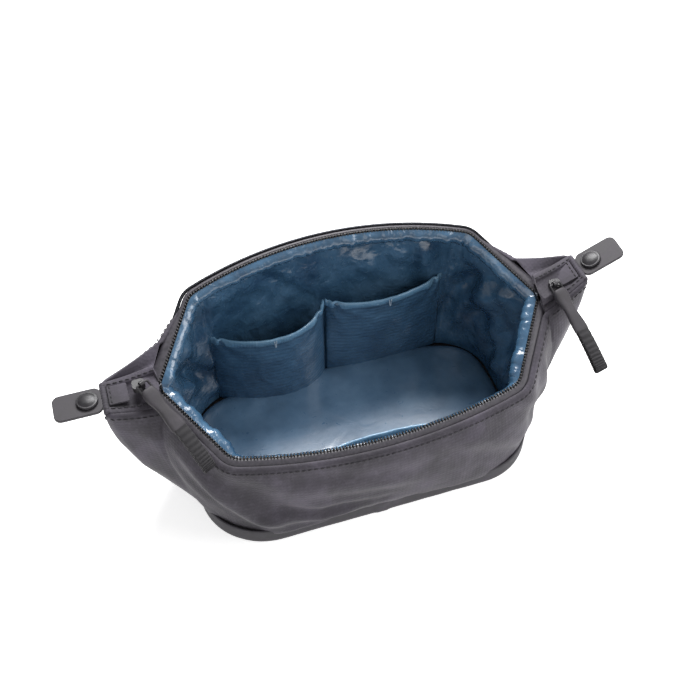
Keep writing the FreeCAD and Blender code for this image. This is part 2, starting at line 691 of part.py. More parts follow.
doc.recompute()
faulty = [o.Name for o in doc.Objects if "Invalid" in o.State or "Error" in o.State]
if faulty:
    raise RuntimeError(f"objects left in error: {faulty}")
for made in nodes:
    shape = made.Shape
    if shape.isNull() or not shape.isValid() or not shape.Solids:
        raise RuntimeError(f"{made.Label} has no valid solid")

os.makedirs("parts", exist_ok=True)
for made in nodes:
    made.Shape.exportStep(os.path.join("parts", made.Label + ".step"))
print(len(nodes), "sub-parts written")
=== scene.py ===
import json
import math

import bmesh
import bpy
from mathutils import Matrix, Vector, noise


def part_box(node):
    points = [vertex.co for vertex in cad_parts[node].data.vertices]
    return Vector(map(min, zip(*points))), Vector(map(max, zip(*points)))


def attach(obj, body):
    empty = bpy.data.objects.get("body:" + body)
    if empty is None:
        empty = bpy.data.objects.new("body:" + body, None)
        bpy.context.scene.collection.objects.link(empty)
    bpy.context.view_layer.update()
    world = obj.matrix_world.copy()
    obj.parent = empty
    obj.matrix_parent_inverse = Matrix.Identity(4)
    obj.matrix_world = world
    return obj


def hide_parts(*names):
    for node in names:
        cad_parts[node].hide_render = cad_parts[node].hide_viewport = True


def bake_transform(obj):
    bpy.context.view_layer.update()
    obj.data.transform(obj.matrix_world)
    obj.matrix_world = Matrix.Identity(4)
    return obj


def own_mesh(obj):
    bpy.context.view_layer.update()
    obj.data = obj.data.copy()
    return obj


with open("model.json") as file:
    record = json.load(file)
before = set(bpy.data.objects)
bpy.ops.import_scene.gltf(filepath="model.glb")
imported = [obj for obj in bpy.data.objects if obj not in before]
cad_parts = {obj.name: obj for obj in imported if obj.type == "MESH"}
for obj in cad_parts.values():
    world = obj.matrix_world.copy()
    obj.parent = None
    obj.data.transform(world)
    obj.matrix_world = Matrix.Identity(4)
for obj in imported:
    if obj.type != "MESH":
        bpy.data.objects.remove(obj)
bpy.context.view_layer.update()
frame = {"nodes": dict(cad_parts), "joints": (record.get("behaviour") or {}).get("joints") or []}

# Spring-steel mouth wires, their pins and the stiffening board.
# The wires are bent from blackened 2.5 mm steel and turn on plain pins; the board is pressed pulp.
# They keep the frame's own shapes, because nothing soft covers their form.

MM = 0.001
cad = frame["nodes"]


def linear(code, alpha=1.0):
    """An sRGB hex colour as the linear RGBA that a shader takes."""
    parts = [int(code[i:i + 2], 16) / 255 for i in (1, 3, 5)]
    parts = [p / 12.92 if p <= 0.04045 else ((p + 0.055) / 1.055) ** 2.4 for p in parts]
    return (*parts, alpha)


def add(material, kind, wired=None, stops=(), **settings):
    """Adds one shader node: wired sets or links its inputs, stops are a ramp's places and hex colours."""
    made = material.node_tree.nodes.new("ShaderNode" + kind)
    for name, value in settings.items():
        setattr(made, name, value)
    for name, value in (wired or {}).items():
        if isinstance(value, bpy.types.NodeSocket):
            material.node_tree.links.new(value, made.inputs[name])
        else:
            made.inputs[name].default_value = value
    for i, (place, code) in enumerate(stops):
        ramp = made.color_ramp.elements
        stop = ramp[i] if i < len(ramp) else ramp.new(place)
        stop.position, stop.color = place, linear(code)
    return made


def new_material(name):
    material = bpy.data.materials.new(name)
    material.use_nodes = True
    material.node_tree.nodes.clear()
    return material


def dress(node, material):
    """Gives a frame node its finish."""
    mesh = cad[node].data
    mesh.materials.clear()
    mesh.materials.append(material)


def spring_steel():
    """Drawn wire, blackened so that it doesn't rust in a wet bag: fine draw lines, uneven gloss."""
    steel = new_material("spring steel")
    place = add(steel, "TexCoord").outputs["Object"]
    draw_lines = add(steel, "TexNoise", {"Vector": place, "Scale": 1 / (1.5 * MM), "Detail": 3})
    colour = add(steel, "ValToRGB", {"Fac": draw_lines.outputs["Fac"]},
                 stops=[(0.3, "#2c2d30"), (0.7, "#414246")]).outputs["Color"]
    gloss = add(steel, "MapRange", {"Value": draw_lines.outputs["Fac"], "To Min": 0.25, "To Max": 0.42})
    bump = add(steel, "Bump", {"Height": draw_lines.outputs["Fac"], "Distance": 0.02 * MM})
    shader = add(steel, "BsdfPrincipled", {
        "Base Color": colour, "Metallic": 1.0, "Roughness": gloss.outputs["Result"],
        "Normal": bump.outputs["Normal"]})
    add(steel, "OutputMaterial", {"Surface": shader.outputs["BSDF"]})
    return steel


def pulp_board():
    """Pressed grey board: matt, flecked with fibres."""
    board = new_material("pulp board")
    place = add(board, "TexCoord").outputs["Object"]
    fibres = add(board, "TexNoise", {"Vector": place, "Scale": 1 / (3 * MM), "Detail": 6})
    colour = add(board, "ValToRGB", {"Fac": fibres.outputs["Fac"]},
                 stops=[(0.35, "#2b2a2c"), (0.65, "#413f42")]).outputs["Color"]
    bump = add(board, "Bump", {"Height": fibres.outputs["Fac"], "Distance": 0.1 * MM})
    shader = add(board, "BsdfPrincipled", {
        "Base Color": colour, "Roughness": 0.9, "Normal": bump.outputs["Normal"]})
    add(board, "OutputMaterial", {"Surface": shader.outputs["BSDF"]})
    return board


steel = spring_steel()
for node in ("front_frame_wire", "back_frame_wire", "left_hinge_pin", "right_hinge_pin"):
    dress(node, steel)
dress("base_board", pulp_board())


# Base panel and base strip.
# A coated, rubbery cloth: the panel lies on the ground, and the strip is glued round the foot of the
# walls with its two ends lapped at the front. Calendered smooth, so it has a low even sheen.

BASE_LENGTH, BASE_DEPTH, BASE_CORNER = 262, 148, 50
STRIP_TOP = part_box("base_strip")[1].z / MM


def coated_cloth():
    """Calendered polyurethane on cloth: near-black, satin, with a faint leathery grain."""
    coat = new_material("coated base cloth")
    place = add(coat, "TexCoord").outputs["Object"]
    grain = add(coat, "TexVoronoi", {"Vector": place, "Scale": 1 / (1.1 * MM)}, feature="SMOOTH_F1")
    scuffs = add(coat, "TexNoise", {"Vector": place, "Scale": 1 / (22 * MM), "Detail": 5, "Roughness": 0.7})
    colour = add(coat, "ValToRGB", {"Fac": scuffs.outputs["Fac"]},
                 stops=[(0.35, "#29262c"), (0.6, "#37343b"), (0.75, "#47434b")]).outputs["Color"]
    gloss = add(coat, "MapRange", {"Value": scuffs.outputs["Fac"], "To Min": 0.5, "To Max": 0.72})
    bump = add(coat, "Bump", {"Height": grain.outputs["Distance"], "Distance": 0.06 * MM, "Strength": 0.6})
    shader = add(coat, "BsdfPrincipled", {
        "Base Color": colour, "Roughness": gloss.outputs["Result"], "Normal": bump.outputs["Normal"]})
    add(coat, "OutputMaterial", {"Surface": shader.outputs["BSDF"]})
    return coat


def base_point(run, inset=0.0):
    """Plan point and outward normal at a distance round half the foot, from the +X end to the front."""
    half, deep, corner = BASE_LENGTH / 2, BASE_DEPTH / 2, BASE_CORNER
    straight = deep - corner
    arc = corner * math.pi / 2
    if run < straight:
        at, way = Vector((half, -run, 0)), Vector((1, 0, 0))
    elif run < straight + arc:
        turn = (run - straight) / corner
        way = Vector((math.cos(turn), -math.sin(turn), 0))
        at = Vector((half - corner, -straight, 0)) + way * corner
    else:
        at, way = Vector((half - corner - (run - straight - arc), -deep, 0)), Vector((0, -1, 0))
    return at - way * inset, way


HALF_BASE = (BASE_DEPTH / 2 - BASE_CORNER) + BASE_CORNER * math.pi / 2 + BASE_LENGTH / 2 - BASE_CORNER


def piece_of(mesh, materials):
    """Puts a mesh in the scene as a smooth piece."""
    for material in materials:
        mesh.materials.append(material)
    mesh.polygons.foreach_set("use_smooth", [True] * len(mesh.polygons))
    piece = bpy.data.objects.new(mesh.name, mesh)
    bpy.context.scene.collection.objects.link(piece)
    return piece


def new_piece(name, verts, faces, materials):
    """A piece from points in millimetres."""
    mesh = bpy.data.meshes.new(name)
    mesh.from_pydata([tuple(Vector(v) * MM) for v in verts], [], faces)
    mesh.update()
    return piece_of(mesh, materials)


def fasten(piece, slot, body, *stands_for):
    """Hides the frame nodes that a piece stands for and puts the piece on the body that carries it; slot,
    the finish's name, is not used.
    """
    if stands_for:
        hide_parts(*stands_for)
    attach(piece, body)


def loft(rings, closed=True, capped=False):
    """Faces and points between rings of equal length."""
    verts = [p for ring in rings for p in ring]
    count = len(rings[0])
    faces = []
    for i in range(len(rings) - 1):
        for k in range(count if closed else count - 1):
            a, b = i * count + k, i * count + (k + 1) % count
            faces.append((a, b, b + count, a + count))
    if capped:
        faces.append(tuple(reversed(range(count))))
        faces.append(tuple(range((len(rings) - 1) * count, len(rings) * count)))
    return verts, faces


def base_strip(material):
    """The band, its section rounded at both edges, lapped over itself at the front."""
    columns = 220
    section = [(0.2, 0.0), (1.3, 0.15), (1.7, 0.7), (1.75, 4.0), (1.6, 9.0), (1.75, 12.8), (1.45, 13.7),
               (0.9, STRIP_TOP), (0.1, 13.8), (-0.35, 12.8)]
    lap_start, lap_length = -10.0, 12.0
    rings = []
    for proud, lift in section:
        ring = []
        for k in range(columns):
            share = 4 * k / columns
            quarter, along = int(share), share - int(share)
            run = along if quarter % 2 == 0 else 1 - along
            at, way = base_point(run * HALF_BASE, 1.4)
            signs = ((1, 1), (-1, 1), (-1, -1), (1, -1))[quarter]
            at, way = [Vector((v.x * signs[0], v.y * signs[1], 0)) for v in (at, way)]
            lapped = way.y < -0.9 and lap_start < at.x < lap_start + lap_length
            wobble = 0.25 * noise.noise(at / 17)
            ring.append(at + way * (proud + wobble + (0.7 if lapped else 0)) + Vector((0, 0, lift)))
        rings.append(ring)
    verts, faces = loft(rings)
    piece = new_piece("base_strip_band", verts, faces, [material])
    fasten(piece, "coated_base", "bag_body", "base_strip")
    return piece


coated = coated_cloth()
base_strip(coated)
dress("base_panel", coated)


# Outer cloth.
# Waxed cotton canvas, sewn to a shell that sags out over the base strip and runs up to a folded,
# stitched hem along the zip. At each end it is drawn out to a wing above the pins. Dark, dry, with
# pale rub marks where the wax has cracked.

pin_low, pin_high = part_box("right_hinge_pin")
HINGE = (pin_low.z + pin_high.z) / 2 / MM
MOUTH_HALF, LEG_REACH, LEG_INSET, CORNER_BEND = 143, 60, 36, 14
BOW = {"front": 14, "back": 20}
FACING = {"front": -1, "back": 1}
TILT = math.atan2(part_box("back_zip_coil")[1].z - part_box("front_zip_coil")[0].z,
                  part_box("back_zip_coil")[1].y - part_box("front_zip_coil")[0].y)
TAPE_EDGE = 6.5
WING_START = 160.5
LEG_SHARE, BEND_SHARE = 0.3, 0.42
STRIP_FOOT = 6.0


def blend_stations(stations, place):
    """Values at a place between named stations, eased from each to the next."""
    if place <= stations[0][0]:
        return list(stations[0][1:])
    for low, high in zip(stations, stations[1:]):
        if place <= high[0]:
            t = (place - low[0]) / (high[0] - low[0])
            t = t * t * (3 - 2 * t)
            return [a + (b - a) * t for a, b in zip(low[1:], high[1:])]
    return list(stations[-1][1:])


def mouth_plan(side, share, out):
    """Plan point on the zip's line, drawn out by out: share 0 at the +X pin, 1 at the middle."""
    bow = BOW[side]
    corner, foot = Vector((MOUTH_HALF - LEG_INSET, LEG_REACH)), Vector((MOUTH_HALF, 0))
    along = (corner - foot).normalized()
    inward = Vector((-along.y, along.x))
    radius = (corner.x ** 2 + bow ** 2) / (2 * bow)
    centre = Vector((0, corner.y + bow - radius))
    away = foot + inward * CORNER_BEND - centre
    b, c = away.dot(along), away.dot(away) - (radius - CORNER_BEND) ** 2
    turn = foot + inward * CORNER_BEND + along * (-b + math.sqrt(b * b - c))
    to_rail = (turn - centre).normalized()
    leg_end = turn - inward * (CORNER_BEND + out)
    if share < LEG_SHARE:
        leg_start = leg_end - along * (leg_end.y / along.y)
        return leg_start.lerp(leg_end, share / LEG_SHARE), -inward
    if share < BEND_SHARE:
        t = (share - LEG_SHARE) / (BEND_SHARE - LEG_SHARE)
        low, high = math.atan2(-inward.y, -inward.x), math.atan2(to_rail.y, to_rail.x)
        way = Vector((math.cos(low + (high - low) * t), math.sin(low + (high - low) * t)))
        return turn + way * (CORNER_BEND + out), way
    t = (share - BEND_SHARE) / (1 - BEND_SHARE)
    low = math.atan2(to_rail.y, to_rail.x)
    angle = low + (math.pi / 2 - low) * t
    way = Vector((math.cos(angle), math.sin(angle)))
    return centre + way * (radius + out), way


def on_mouth(side, across, up, rise):
    """A point of the tilted mouth in space: up runs from the pins towards the rail."""
    face = FACING[side]
    y = face * up * math.cos(TILT) - rise * math.sin(TILT)
    z = HINGE + face * up * math.sin(TILT) + rise * math.cos(TILT)
    return Vector((across, y, z))


def zip_point(side, share, sign, out, rise):
    """A point beside the zip, with its outward way: sign picks the +X or the -X half."""
    at, way = mouth_plan(side, share, out)
    return (on_mouth(side, sign * at.x, at.y, rise),
            on_mouth(side, sign * way.x, way.y, 0) - Vector((0, 0, HINGE)))


MOUTH_UP = Vector((0, -math.sin(TILT), math.cos(TILT)))
PIPING_SHARE, NOTCH_SHARE = 0.065, 0.2
NOTCH_LEG = 0.075
BEND_PLACE = 0.44
HANDS = {-1: "left", 1: "right"}
# how far out of the zip the hem lies, how far up, and how much it turns down over the edge
HEM_LIE = {"front": (TAPE_EDGE - 0.6, 0.7, 0.0), "back": (1.9, -1.5, 1.4)}
# how far up each leg the wing's cloth is joined
WING_JOIN = {"front": 0.075, "back": 0.15}


def wing_corner(sign, face):
    """The wing's outer corner, on the inner side of its piping."""
    low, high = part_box(HANDS[sign] + "_wing_piping")
    middle, half = (low + high) / 2 / MM, (high.y - low.y) / 2 / MM
    return middle + Vector((-sign * 1.5, face * (half + 0.6), 0.4))


def wing_notch(side, sign, share=NOTCH_LEG):
    """Where the wing's edge meets the leg of the mouth."""
    return zip_point(side, share, sign, TAPE_EDGE, 0)[0] + Vector((sign * 1.5, 0, 1.5))


def brim(side, place, sign):
    """The shell's top edge: out round the wing's end, back along it, then up the leg and the rail."""
    face = FACING[side]
    end = wing_corner(sign, face)
    if place < PIPING_SHARE:
        middle = wing_corner(sign, 0)
        return middle.lerp(end, place / PIPING_SHARE), Vector((sign, 0, -0.2)), Vector((0, 0, 1))
    if place < NOTCH_SHARE:
        t = (place - PIPING_SHARE) / (NOTCH_SHARE - PIPING_SHARE)
        at = end.lerp(wing_notch(side, sign, WING_JOIN[side]), t)
        at.z -= 1.2 * math.sin(math.pi * t)
        return at, Vector((0.25 * sign * (1 - t), face, -0.35)).normalized(), Vector((0, 0, 1))
    t = (place - NOTCH_SHARE) / (1 - NOTCH_SHARE)
    out, rise, turn = HEM_LIE[side]
    eased = min(1.0, t * 6)
    out = TAPE_EDGE + (out - TAPE_EDGE) * eased
    join = WING_JOIN[side]
    at, way = zip_point(side, join + (1 - join) * t, sign, out, rise * eased)
    over = way * math.cos(turn * eased) - MOUTH_UP * math.sin(turn * eased)
    up = MOUTH_UP * math.cos(turn * eased) + way * math.sin(turn * eased)
    return at, over, up


FOOT_RUN = [(0, 0), (PIPING_SHARE, 13), (NOTCH_SHARE, 36), (BEND_PLACE, 64), (1, HALF_BASE)]
# place, then how the cloth leaves the hem (out, across the bag's end, down) and reaches the foot
# (out, up)
FALL = {
    "front": [(0, 3, 0, 34, 22, 1), (PIPING_SHARE, 2, 1, 34, 21, 1), (NOTCH_SHARE, 14, 12, 20, 5, 4),
              (BEND_PLACE, 9, 8, 20, -3, 5), (0.75, 1, 6, 13, 8, 3), (1, 0, 6, 15, 8, 5)],
    "back": [(0, 3, 0, 34, 22, 1), (PIPING_SHARE, 2, 1, 34, 21, 1), (NOTCH_SHARE, 11, 13, 22, 16, 6),
             (BEND_PLACE, 5, 5, 30, 10, 16), (0.75, 1, 4, 34, 7, 20), (1, 0, 4, 34, 7, 20)],
}


def foot_point(side, place, sign, inset, lift):
    run = piecewise(FOOT_RUN, place)
    at, way = base_point(run, inset)
    face = -FACING[side]
    return (Vector((sign * at.x, face * at.y, lift)), Vector((sign * way.x, face * way.y, 0)))


def piecewise(stations, place):
    for low, high in zip(stations, stations[1:]):
        if place <= high[0]:
            return low[1] + (high[1] - low[1]) * (place - low[0]) / (high[0] - low[0])
    return stations[-1][1]


def bezier(a, b, c, d, t):
    u = 1 - t
    return a * u ** 3 + b * (3 * u * u * t) + c * (3 * u * t * t) + d * t ** 3


HEM = [(1.8, -1.7), (0.3, -1.4), (-0.2, -0.5), (0.3, 0.3), (1.4, 0.55), (3.2, 0.3)]


def shell_column(side, place, sign, rows):
    """One line of the outer cloth, from under the hem down to the foot."""
    top, out, up = brim(side, place, sign)
    points = [top + out * a + up * b for a, b in HEM]
    leave_out, leave_y, drop, foot_out, foot_up = blend_stations(FALL[side], place)
    foot, way = foot_point(side, place, sign, 1.6, STRIP_FOOT)
    start = points[-1]
    first = start + Vector((sign * leave_out, FACING[side] * leave_y, -drop))
    last = foot + way * foot_out + Vector((0, 0, foot_up))
    for i in range(1, rows + 1):
        points.append(bezier(start, first, last, foot, i / rows))
    return points


def crease(at, start, end, width, depth):
    """A soft fold: depth times a bump across the line from start to end, fading at both ends."""
    line = end - start
    t = (at - start).dot(line) / line.length_squared
    if t < -0.15 or t > 1.15:
        return 0.0
    away = (at - start - line * t).length / width
    fade = min(1.0, max(0.0, (t + 0.15) / 0.3)) * min(1.0, max(0.0, (1.15 - t) / 0.3))
    return depth * fade * (math.exp(-away * away) - 0.45 * math.exp(-(away - 1.5) ** 2 * 1.5))


# folds that the hand sees first: from, to, width, depth (out is positive)
FOLDS = [
    (Vector((-150, -35, 95)), Vector((-88, -80, 22)), 9, 3.0),
    (Vector((-120, -58, 84)), Vector((-60, -82, 20)), 11, -3.0),
    (Vector((-70, -76, 62)), Vector((20, -82, 40)), 8, 1.6),
    (Vector((-95, -70, 30)), Vector((-25, -82, 18)), 6, 3.0),
    (Vector((-60, -80, 30)), Vector((10, -83, 22)), 5, -1.8),
    (Vector((60, -78, 68)), Vector((118, -62, 28)), 9, 2.2),
    (Vector((95, -66, 78)), Vector((148, -42, 22)), 8, -2.8),
    (Vector((128, -40, 88)), Vector((150, -38, 30)), 7, 2.4),
    (Vector((-168, -12, 95)), Vector((-140, -45, 30)), 8, -2.2),
    (Vector((165, -14, 100)), Vector((140, -48, 30)), 9, 1.8),
    (Vector((168, 14, 100)), Vector((135, 50, 30)), 9, 2.4),
    (Vector((-168, 14, 100)), Vector((-135, 50, 30)), 9, 2.4),
    (Vector((-80, 80, 130)), Vector((-40, 84, 40)), 10, 1.8),
    (Vector((20, 80, 120)), Vector((70, 84, 30)), 12, -2.2),
    (Vector((110, 60, 130)), Vector((90, 80, 35)), 9, 2.0),
]


def cloth_swell(at, way, share):
    """How far the canvas stands off its smooth form, as broad dents, folds and small ripples."""
    calm = min(1.0, share * 5) * min(1.0, (1 - share) * 6 + 0.15)
    broad = 1.9 * noise.noise(at / 46 + Vector((3, 7, 1)))
    ripple = 0.7 * noise.noise(Vector((at.x / 15, at.y / 15, at.z / 34)) + Vector((9, 2, 5)))
    fine = 0.22 * noise.noise(at / 6)
    folds = sum(crease(at, *fold) for fold in FOLDS)
    return way * (calm * (broad + ripple + fine + folds))


def piece_from(made, name, materials):
    """Turns a bmesh into a piece and frees it."""
    mesh = bpy.data.meshes.new(name)
    made.to_mesh(mesh)
    made.free()
    return piece_of(mesh, materials)


def grid_mesh(columns):
    """A bmesh of four-sided faces between columns of points, with a cloth map in metres."""
    made, uvs = bmesh.new(), cloth_map(columns)
    layer = made.loops.layers.uv.new("cloth")
    verts = [[made.verts.new(p * MM) for p in column] for column in columns]
    for i in range(len(columns) - 1):
        for k in range(len(columns[0]) - 1):
            corners = ((i, k), (i, k + 1), (i + 1, k + 1), (i + 1, k))
            face = made.faces.new([verts[a][b] for a, b in corners])
            for loop, (a, b) in zip(face.loops, corners):
                loop[layer].uv = uvs[a][b]
    return made


def cloth_map(columns):
    """Map coordinates for each point: along the middle row, and down each column, in metres."""
    uvs, across = [], 0.0
    middle = len(columns[0]) // 3
    for i, column in enumerate(columns):
        if i:
            across += (column[middle] - columns[i - 1][middle]).length * MM
        down, line = 0.0, []
        for k, p in enumerate(column):
            if k:
                down += (p - column[k - 1]).length * MM
            line.append((across, down))
        uvs.append(line)
    return uvs


def places(count):
    """Even places from the -X end to the +X end, as (place, sign)."""
    # i / count alone differs in its last digits, and the hem stitches would fall elsewhere
    half = [1 - (1 - i / count) for i in range(count + 1)]
    return [(p, -1) for p in half] + [(p, 1) for p in reversed(half[:-1])]


SHELL_COLUMNS, SHELL_ROWS = 110, 44


def shell_columns(side):
    columns = []
    for place, sign in places(SHELL_COLUMNS):
        column = shell_column(side, place, sign, SHELL_ROWS)
        way = foot_point(side, place, sign, 0, 0)[1]
        start = len(HEM)
        for k in range(start, len(column)):
            share = (k - start) / (len(column) - 1 - start)
            column[k] = column[k] + cloth_swell(column[k], way, share)
        columns.append(column)
    return columns


def stitches(path, ups, length=3.0, gap=1.3, girth=0.42):
    """Points and faces of a row of short thread runs that lie along a path."""
    verts, faces = [], []
    travelled, wanted = 0.0, 0.0
    for (a, b), up in zip(zip(path, path[1:]), ups):
        step = (b - a).length
        if step < 1e-6:
            continue
        way = (b - a) / step
        while wanted < travelled + step:
            at = a + way * (wanted - travelled)
            side = way.cross(up).normalized()
            base = len(verts)
            for share, swell in ((0.0, 0.45), (0.15, 0.95), (0.5, 1.0), (0.85, 0.95), (1.0, 0.45)):
                arch = up * (0.34 * math.sin(math.pi * share))
                for corner in range(6):
                    angle = corner * math.pi / 3
                    ring = side * math.cos(angle) + up * math.sin(angle)
                    verts.append(at + way * (length * share) + arch + ring * (girth * swell))
            for row in range(4):
                for corner in range(6):
                    nxt = (corner + 1) % 6
                    faces.append((base + row * 6 + corner, base + row * 6 + nxt,
                                  base + row * 6 + 6 + nxt, base + row * 6 + 6 + corner))
            faces.append(tuple(base + 5 - c for c in range(6)))
            faces.append(tuple(base + 24 + c for c in range(6)))
            wanted += length + gap
        travelled += step
    return verts, faces


# how much of a half's turn the cloth takes: RIM_PULL at the point x = CORNER_X, y = -y0, z = HINGE - z0,
# changing by these slopes per millimetre; 1 and over is all of it. Past the corner (end) it falls
# off fast, because the wing holds the cloth.
RIM_PULL = 1.5
CORNER_X = 107
FOLLOW = {
    "front": {"y": 0.03, "y0": 54, "z": 0.02, "z0": 27, "main": -0.0052, "end": -0.075},
    "back": {"y": -0.05, "y0": -54, "z": 0.02, "z0": -27, "main": -0.0075, "end": -0.07},
}


def follow_mouth(piece, side, part, inset):
    """Works out how much of its half's turn the cloth at this inset takes, but doesn't use it: the piece
    only has its transform baked and doesn't bend.
    """
    f = FOLLOW[side]
    constant = RIM_PULL + f["y"] * f["y0"] + f["z"] * (f["z0"] - HINGE) - f[part] * (CORNER_X - inset)
    constant += FACING[side] * f["y"] * inset
    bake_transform(piece)


def split_and_bend(made, side, name, materials, replaced, inset):
    """Cuts a cloth at the middle, the corners and the wings' fold into parts: the gussets go on the bag's
    body, and the other parts only have their transforms baked.
    """
    corner = CORNER_X - inset
    for x in (-WING_START, -corner, 0, corner, WING_START):
        bmesh.ops.bisect_plane(made, geom=made.verts[:] + made.edges[:] + made.faces[:], dist=1e-6,
                               plane_co=(x * MM, 0, 0), plane_no=(1, 0, 0))
    made.normal_update()
    made.verts.index_update()
    whole = {v.index: v.normal.copy() for v in made.verts}
    bands = [("left_gusset", -400, -WING_START), ("left_end", -WING_START, -corner),
             ("left_main", -corner, 0), ("right_main", 0, corner),
             ("right_end", corner, WING_START), ("right_gusset", WING_START, 400)]
    layer = made.loops.layers.uv.active
    for band, low, high in bands:
        chosen = [f for f in made.faces if low * MM <= f.calc_center_median().x < high * MM]
        if not chosen:
            continue
        used = sorted({v.index for f in chosen for v in f.verts})
        order = {index: i for i, index in enumerate(used)}
        made.verts.ensure_lookup_table()
        mesh = bpy.data.meshes.new(f"{name}_{band}")
        mesh.from_pydata([made.verts[i].co[:] for i in used], [],
                         [[order[v.index] for v in f.verts] for f in chosen])
        cloth = mesh.uv_layers.new(name="cloth")
        k = 0
        for f in chosen:
            for loop in f.loops:
                cloth.data[k].uv = loop[layer].uv
                k += 1
        mesh.polygons.foreach_set("material_index", [f.material_index for f in chosen])
        piece = piece_of(mesh, materials)
        mesh.normals_split_custom_set_from_vertices([whole[i] for i in used])
        if band.endswith("gusset"):
            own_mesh(piece)
            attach(piece, "bag_body")
        else:
            follow_mouth(piece, side, "main" if band.endswith("main") else "end", inset)
    made.free()
    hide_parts(*replaced)


def waxed_canvas():
    """Waxed cotton: a plain weave just visible, clouds of wear, pale cracked wax on the folds."""
    canvas = new_material("waxed canvas")
    place = add(canvas, "TexCoord")
    flat, solid = place.outputs["UV"], place.outputs["Object"]
    # the real thread is 0.35 mm; it is drawn at 0.9 mm so that it shows at all
    weave = 1
    for bands in ("X", "Y"):
        threads = add(canvas, "TexWave", {"Vector": flat, "Scale": 1 / (0.9 * MM * 10), "Distortion": 1.2,
                                          "Detail": 2, "Detail Scale": 3}, bands_direction=bands)
        weave = add(canvas, "Math", {0: weave, 1: threads.outputs["Fac"]},
                    operation="MULTIPLY").outputs["Value"]
    clouds = add(canvas, "TexNoise", {"Vector": solid, "Scale": 1 / (38 * MM), "Detail": 6,
                                      "Roughness": 0.62, "Distortion": 0.4})
    rub = add(canvas, "TexNoise", {"Vector": solid, "Scale": 1 / (7 * MM), "Detail": 8,
                                   "Roughness": 0.75})
    ground = add(canvas, "ValToRGB", {"Fac": clouds.outputs["Fac"]},
                 stops=[(0.32, "#27242b"), (0.5, "#35313a"), (0.68, "#47424e")])
    chalk_place = add(canvas, "ValToRGB", {"Fac": rub.outputs["Fac"]},
                      stops=[(0.5, "#000000"), (0.78, "#a0a0a0")])
    # a mix node has its factor and colours at sockets 0, 6 and 7, and its colour result at 2
    worn = add(canvas, "Mix", {0: chalk_place.outputs["Color"], 6: ground.outputs["Color"],
                               7: linear("#6b6671")}, data_type="RGBA")
    gloss = add(canvas, "MapRange", {"Value": rub.outputs["Fac"], "To Min": 0.62, "To Max": 0.9})
    height = add(canvas, "Math", {0: weave, 1: 0.55, 2: rub.outputs["Fac"]}, operation="MULTIPLY_ADD")
    bump = add(canvas, "Bump", {"Height": height.outputs["Value"], "Distance": 0.28 * MM,
                                "Strength": 0.7})
    shader = add(canvas, "BsdfPrincipled", {
        "Base Color": worn.outputs[2], "Roughness": gloss.outputs["Result"],
        "Normal": bump.outputs["Normal"], "Sheen Weight": 0.15, "Sheen Roughness": 0.45})
    add(canvas, "OutputMaterial", {"Surface": shader.outputs["BSDF"]})
    return canvas


def spun_thread(code):
    """Bonded polyester sewing thread: two plies twisted, slightly glossy."""
    thread = new_material("sewing thread " + code[1:])
    place = add(thread, "TexCoord").outputs["Object"]
    plies = add(thread, "TexNoise", {"Vector": place, "Scale": 1 / (0.6 * MM), "Detail": 2})
    lighter = "#" + "".join(f"{min(255, int(code[i:i + 2], 16) + 22):02x}" for i in (1, 3, 5))
    colour = add(thread, "ValToRGB", {"Fac": plies.outputs["Fac"]},
                 stops=[(0.35, code), (0.65, lighter)]).outputs["Color"]
    bump = add(thread, "Bump", {"Height": plies.outputs["Fac"], "Distance": 0.1 * MM})
    shader = add(thread, "BsdfPrincipled", {
        "Base Color": colour, "Roughness": 0.6, "Normal": bump.outputs["Normal"]})
    add(thread, "OutputMaterial", {"Surface": shader.outputs["BSDF"]})
    return thread


def add_stitches(made, verts, faces, material_index):
    """Puts thread runs into a cloth, as its second material."""
    layer = made.loops.layers.uv.active
    points = [made.verts.new(Vector(v) * MM) for v in verts]
    for face in faces:
        new = made.faces.new([points[i] for i in face])
        new.material_index = material_index
        for loop in new.loops:
            loop[layer].uv = (0, 0)


def point_down(column, distance):
    """The point at a distance down a column of cloth, measured along it."""
    for a, b in zip(column, column[1:]):
        step = (b - a).length
        if distance <= step:
            return a + (b - a) * (distance / step)
        distance -= step
    return column[-1]


canvas = waxed_canvas()
dark_thread = spun_thread("#1d1b20")
HEM_STITCH = 9.3
for side in ("front", "back"):
    columns = shell_columns(side)
    cloth = grid_mesh(columns)
    path = [point_down(column, HEM_STITCH) for column in columns]
    ups = [(point_down(columns[i], HEM_STITCH + 1) - path[i]).cross(path[i + 1] - path[i]).normalized()
           for i in range(len(columns) - 1)]
    ups = [up if up.z > 0 else -up for up in ups]
    path = [p + up * 0.15 for p, up in zip(path, [*ups, ups[-1]])]
    add_stitches(cloth, *stitches(path, ups), 1)
    bmesh.ops.recalc_face_normals(cloth, faces=cloth.faces[:])
    walls = {"front": ["front_wall"], "back": ["back_wall", "left_end_wall", "right_end_wall"]}
    split_and_bend(cloth, side, side + "_canvas", [canvas, dark_thread],
                   walls[side], 0)


# Lining.
# Thin nylon with a glossy blue coating, so every wrinkle catches the light. It wraps the mouth wire in
# a sewn channel, then falls to the floor; it is larger than the bag and stands in folds.

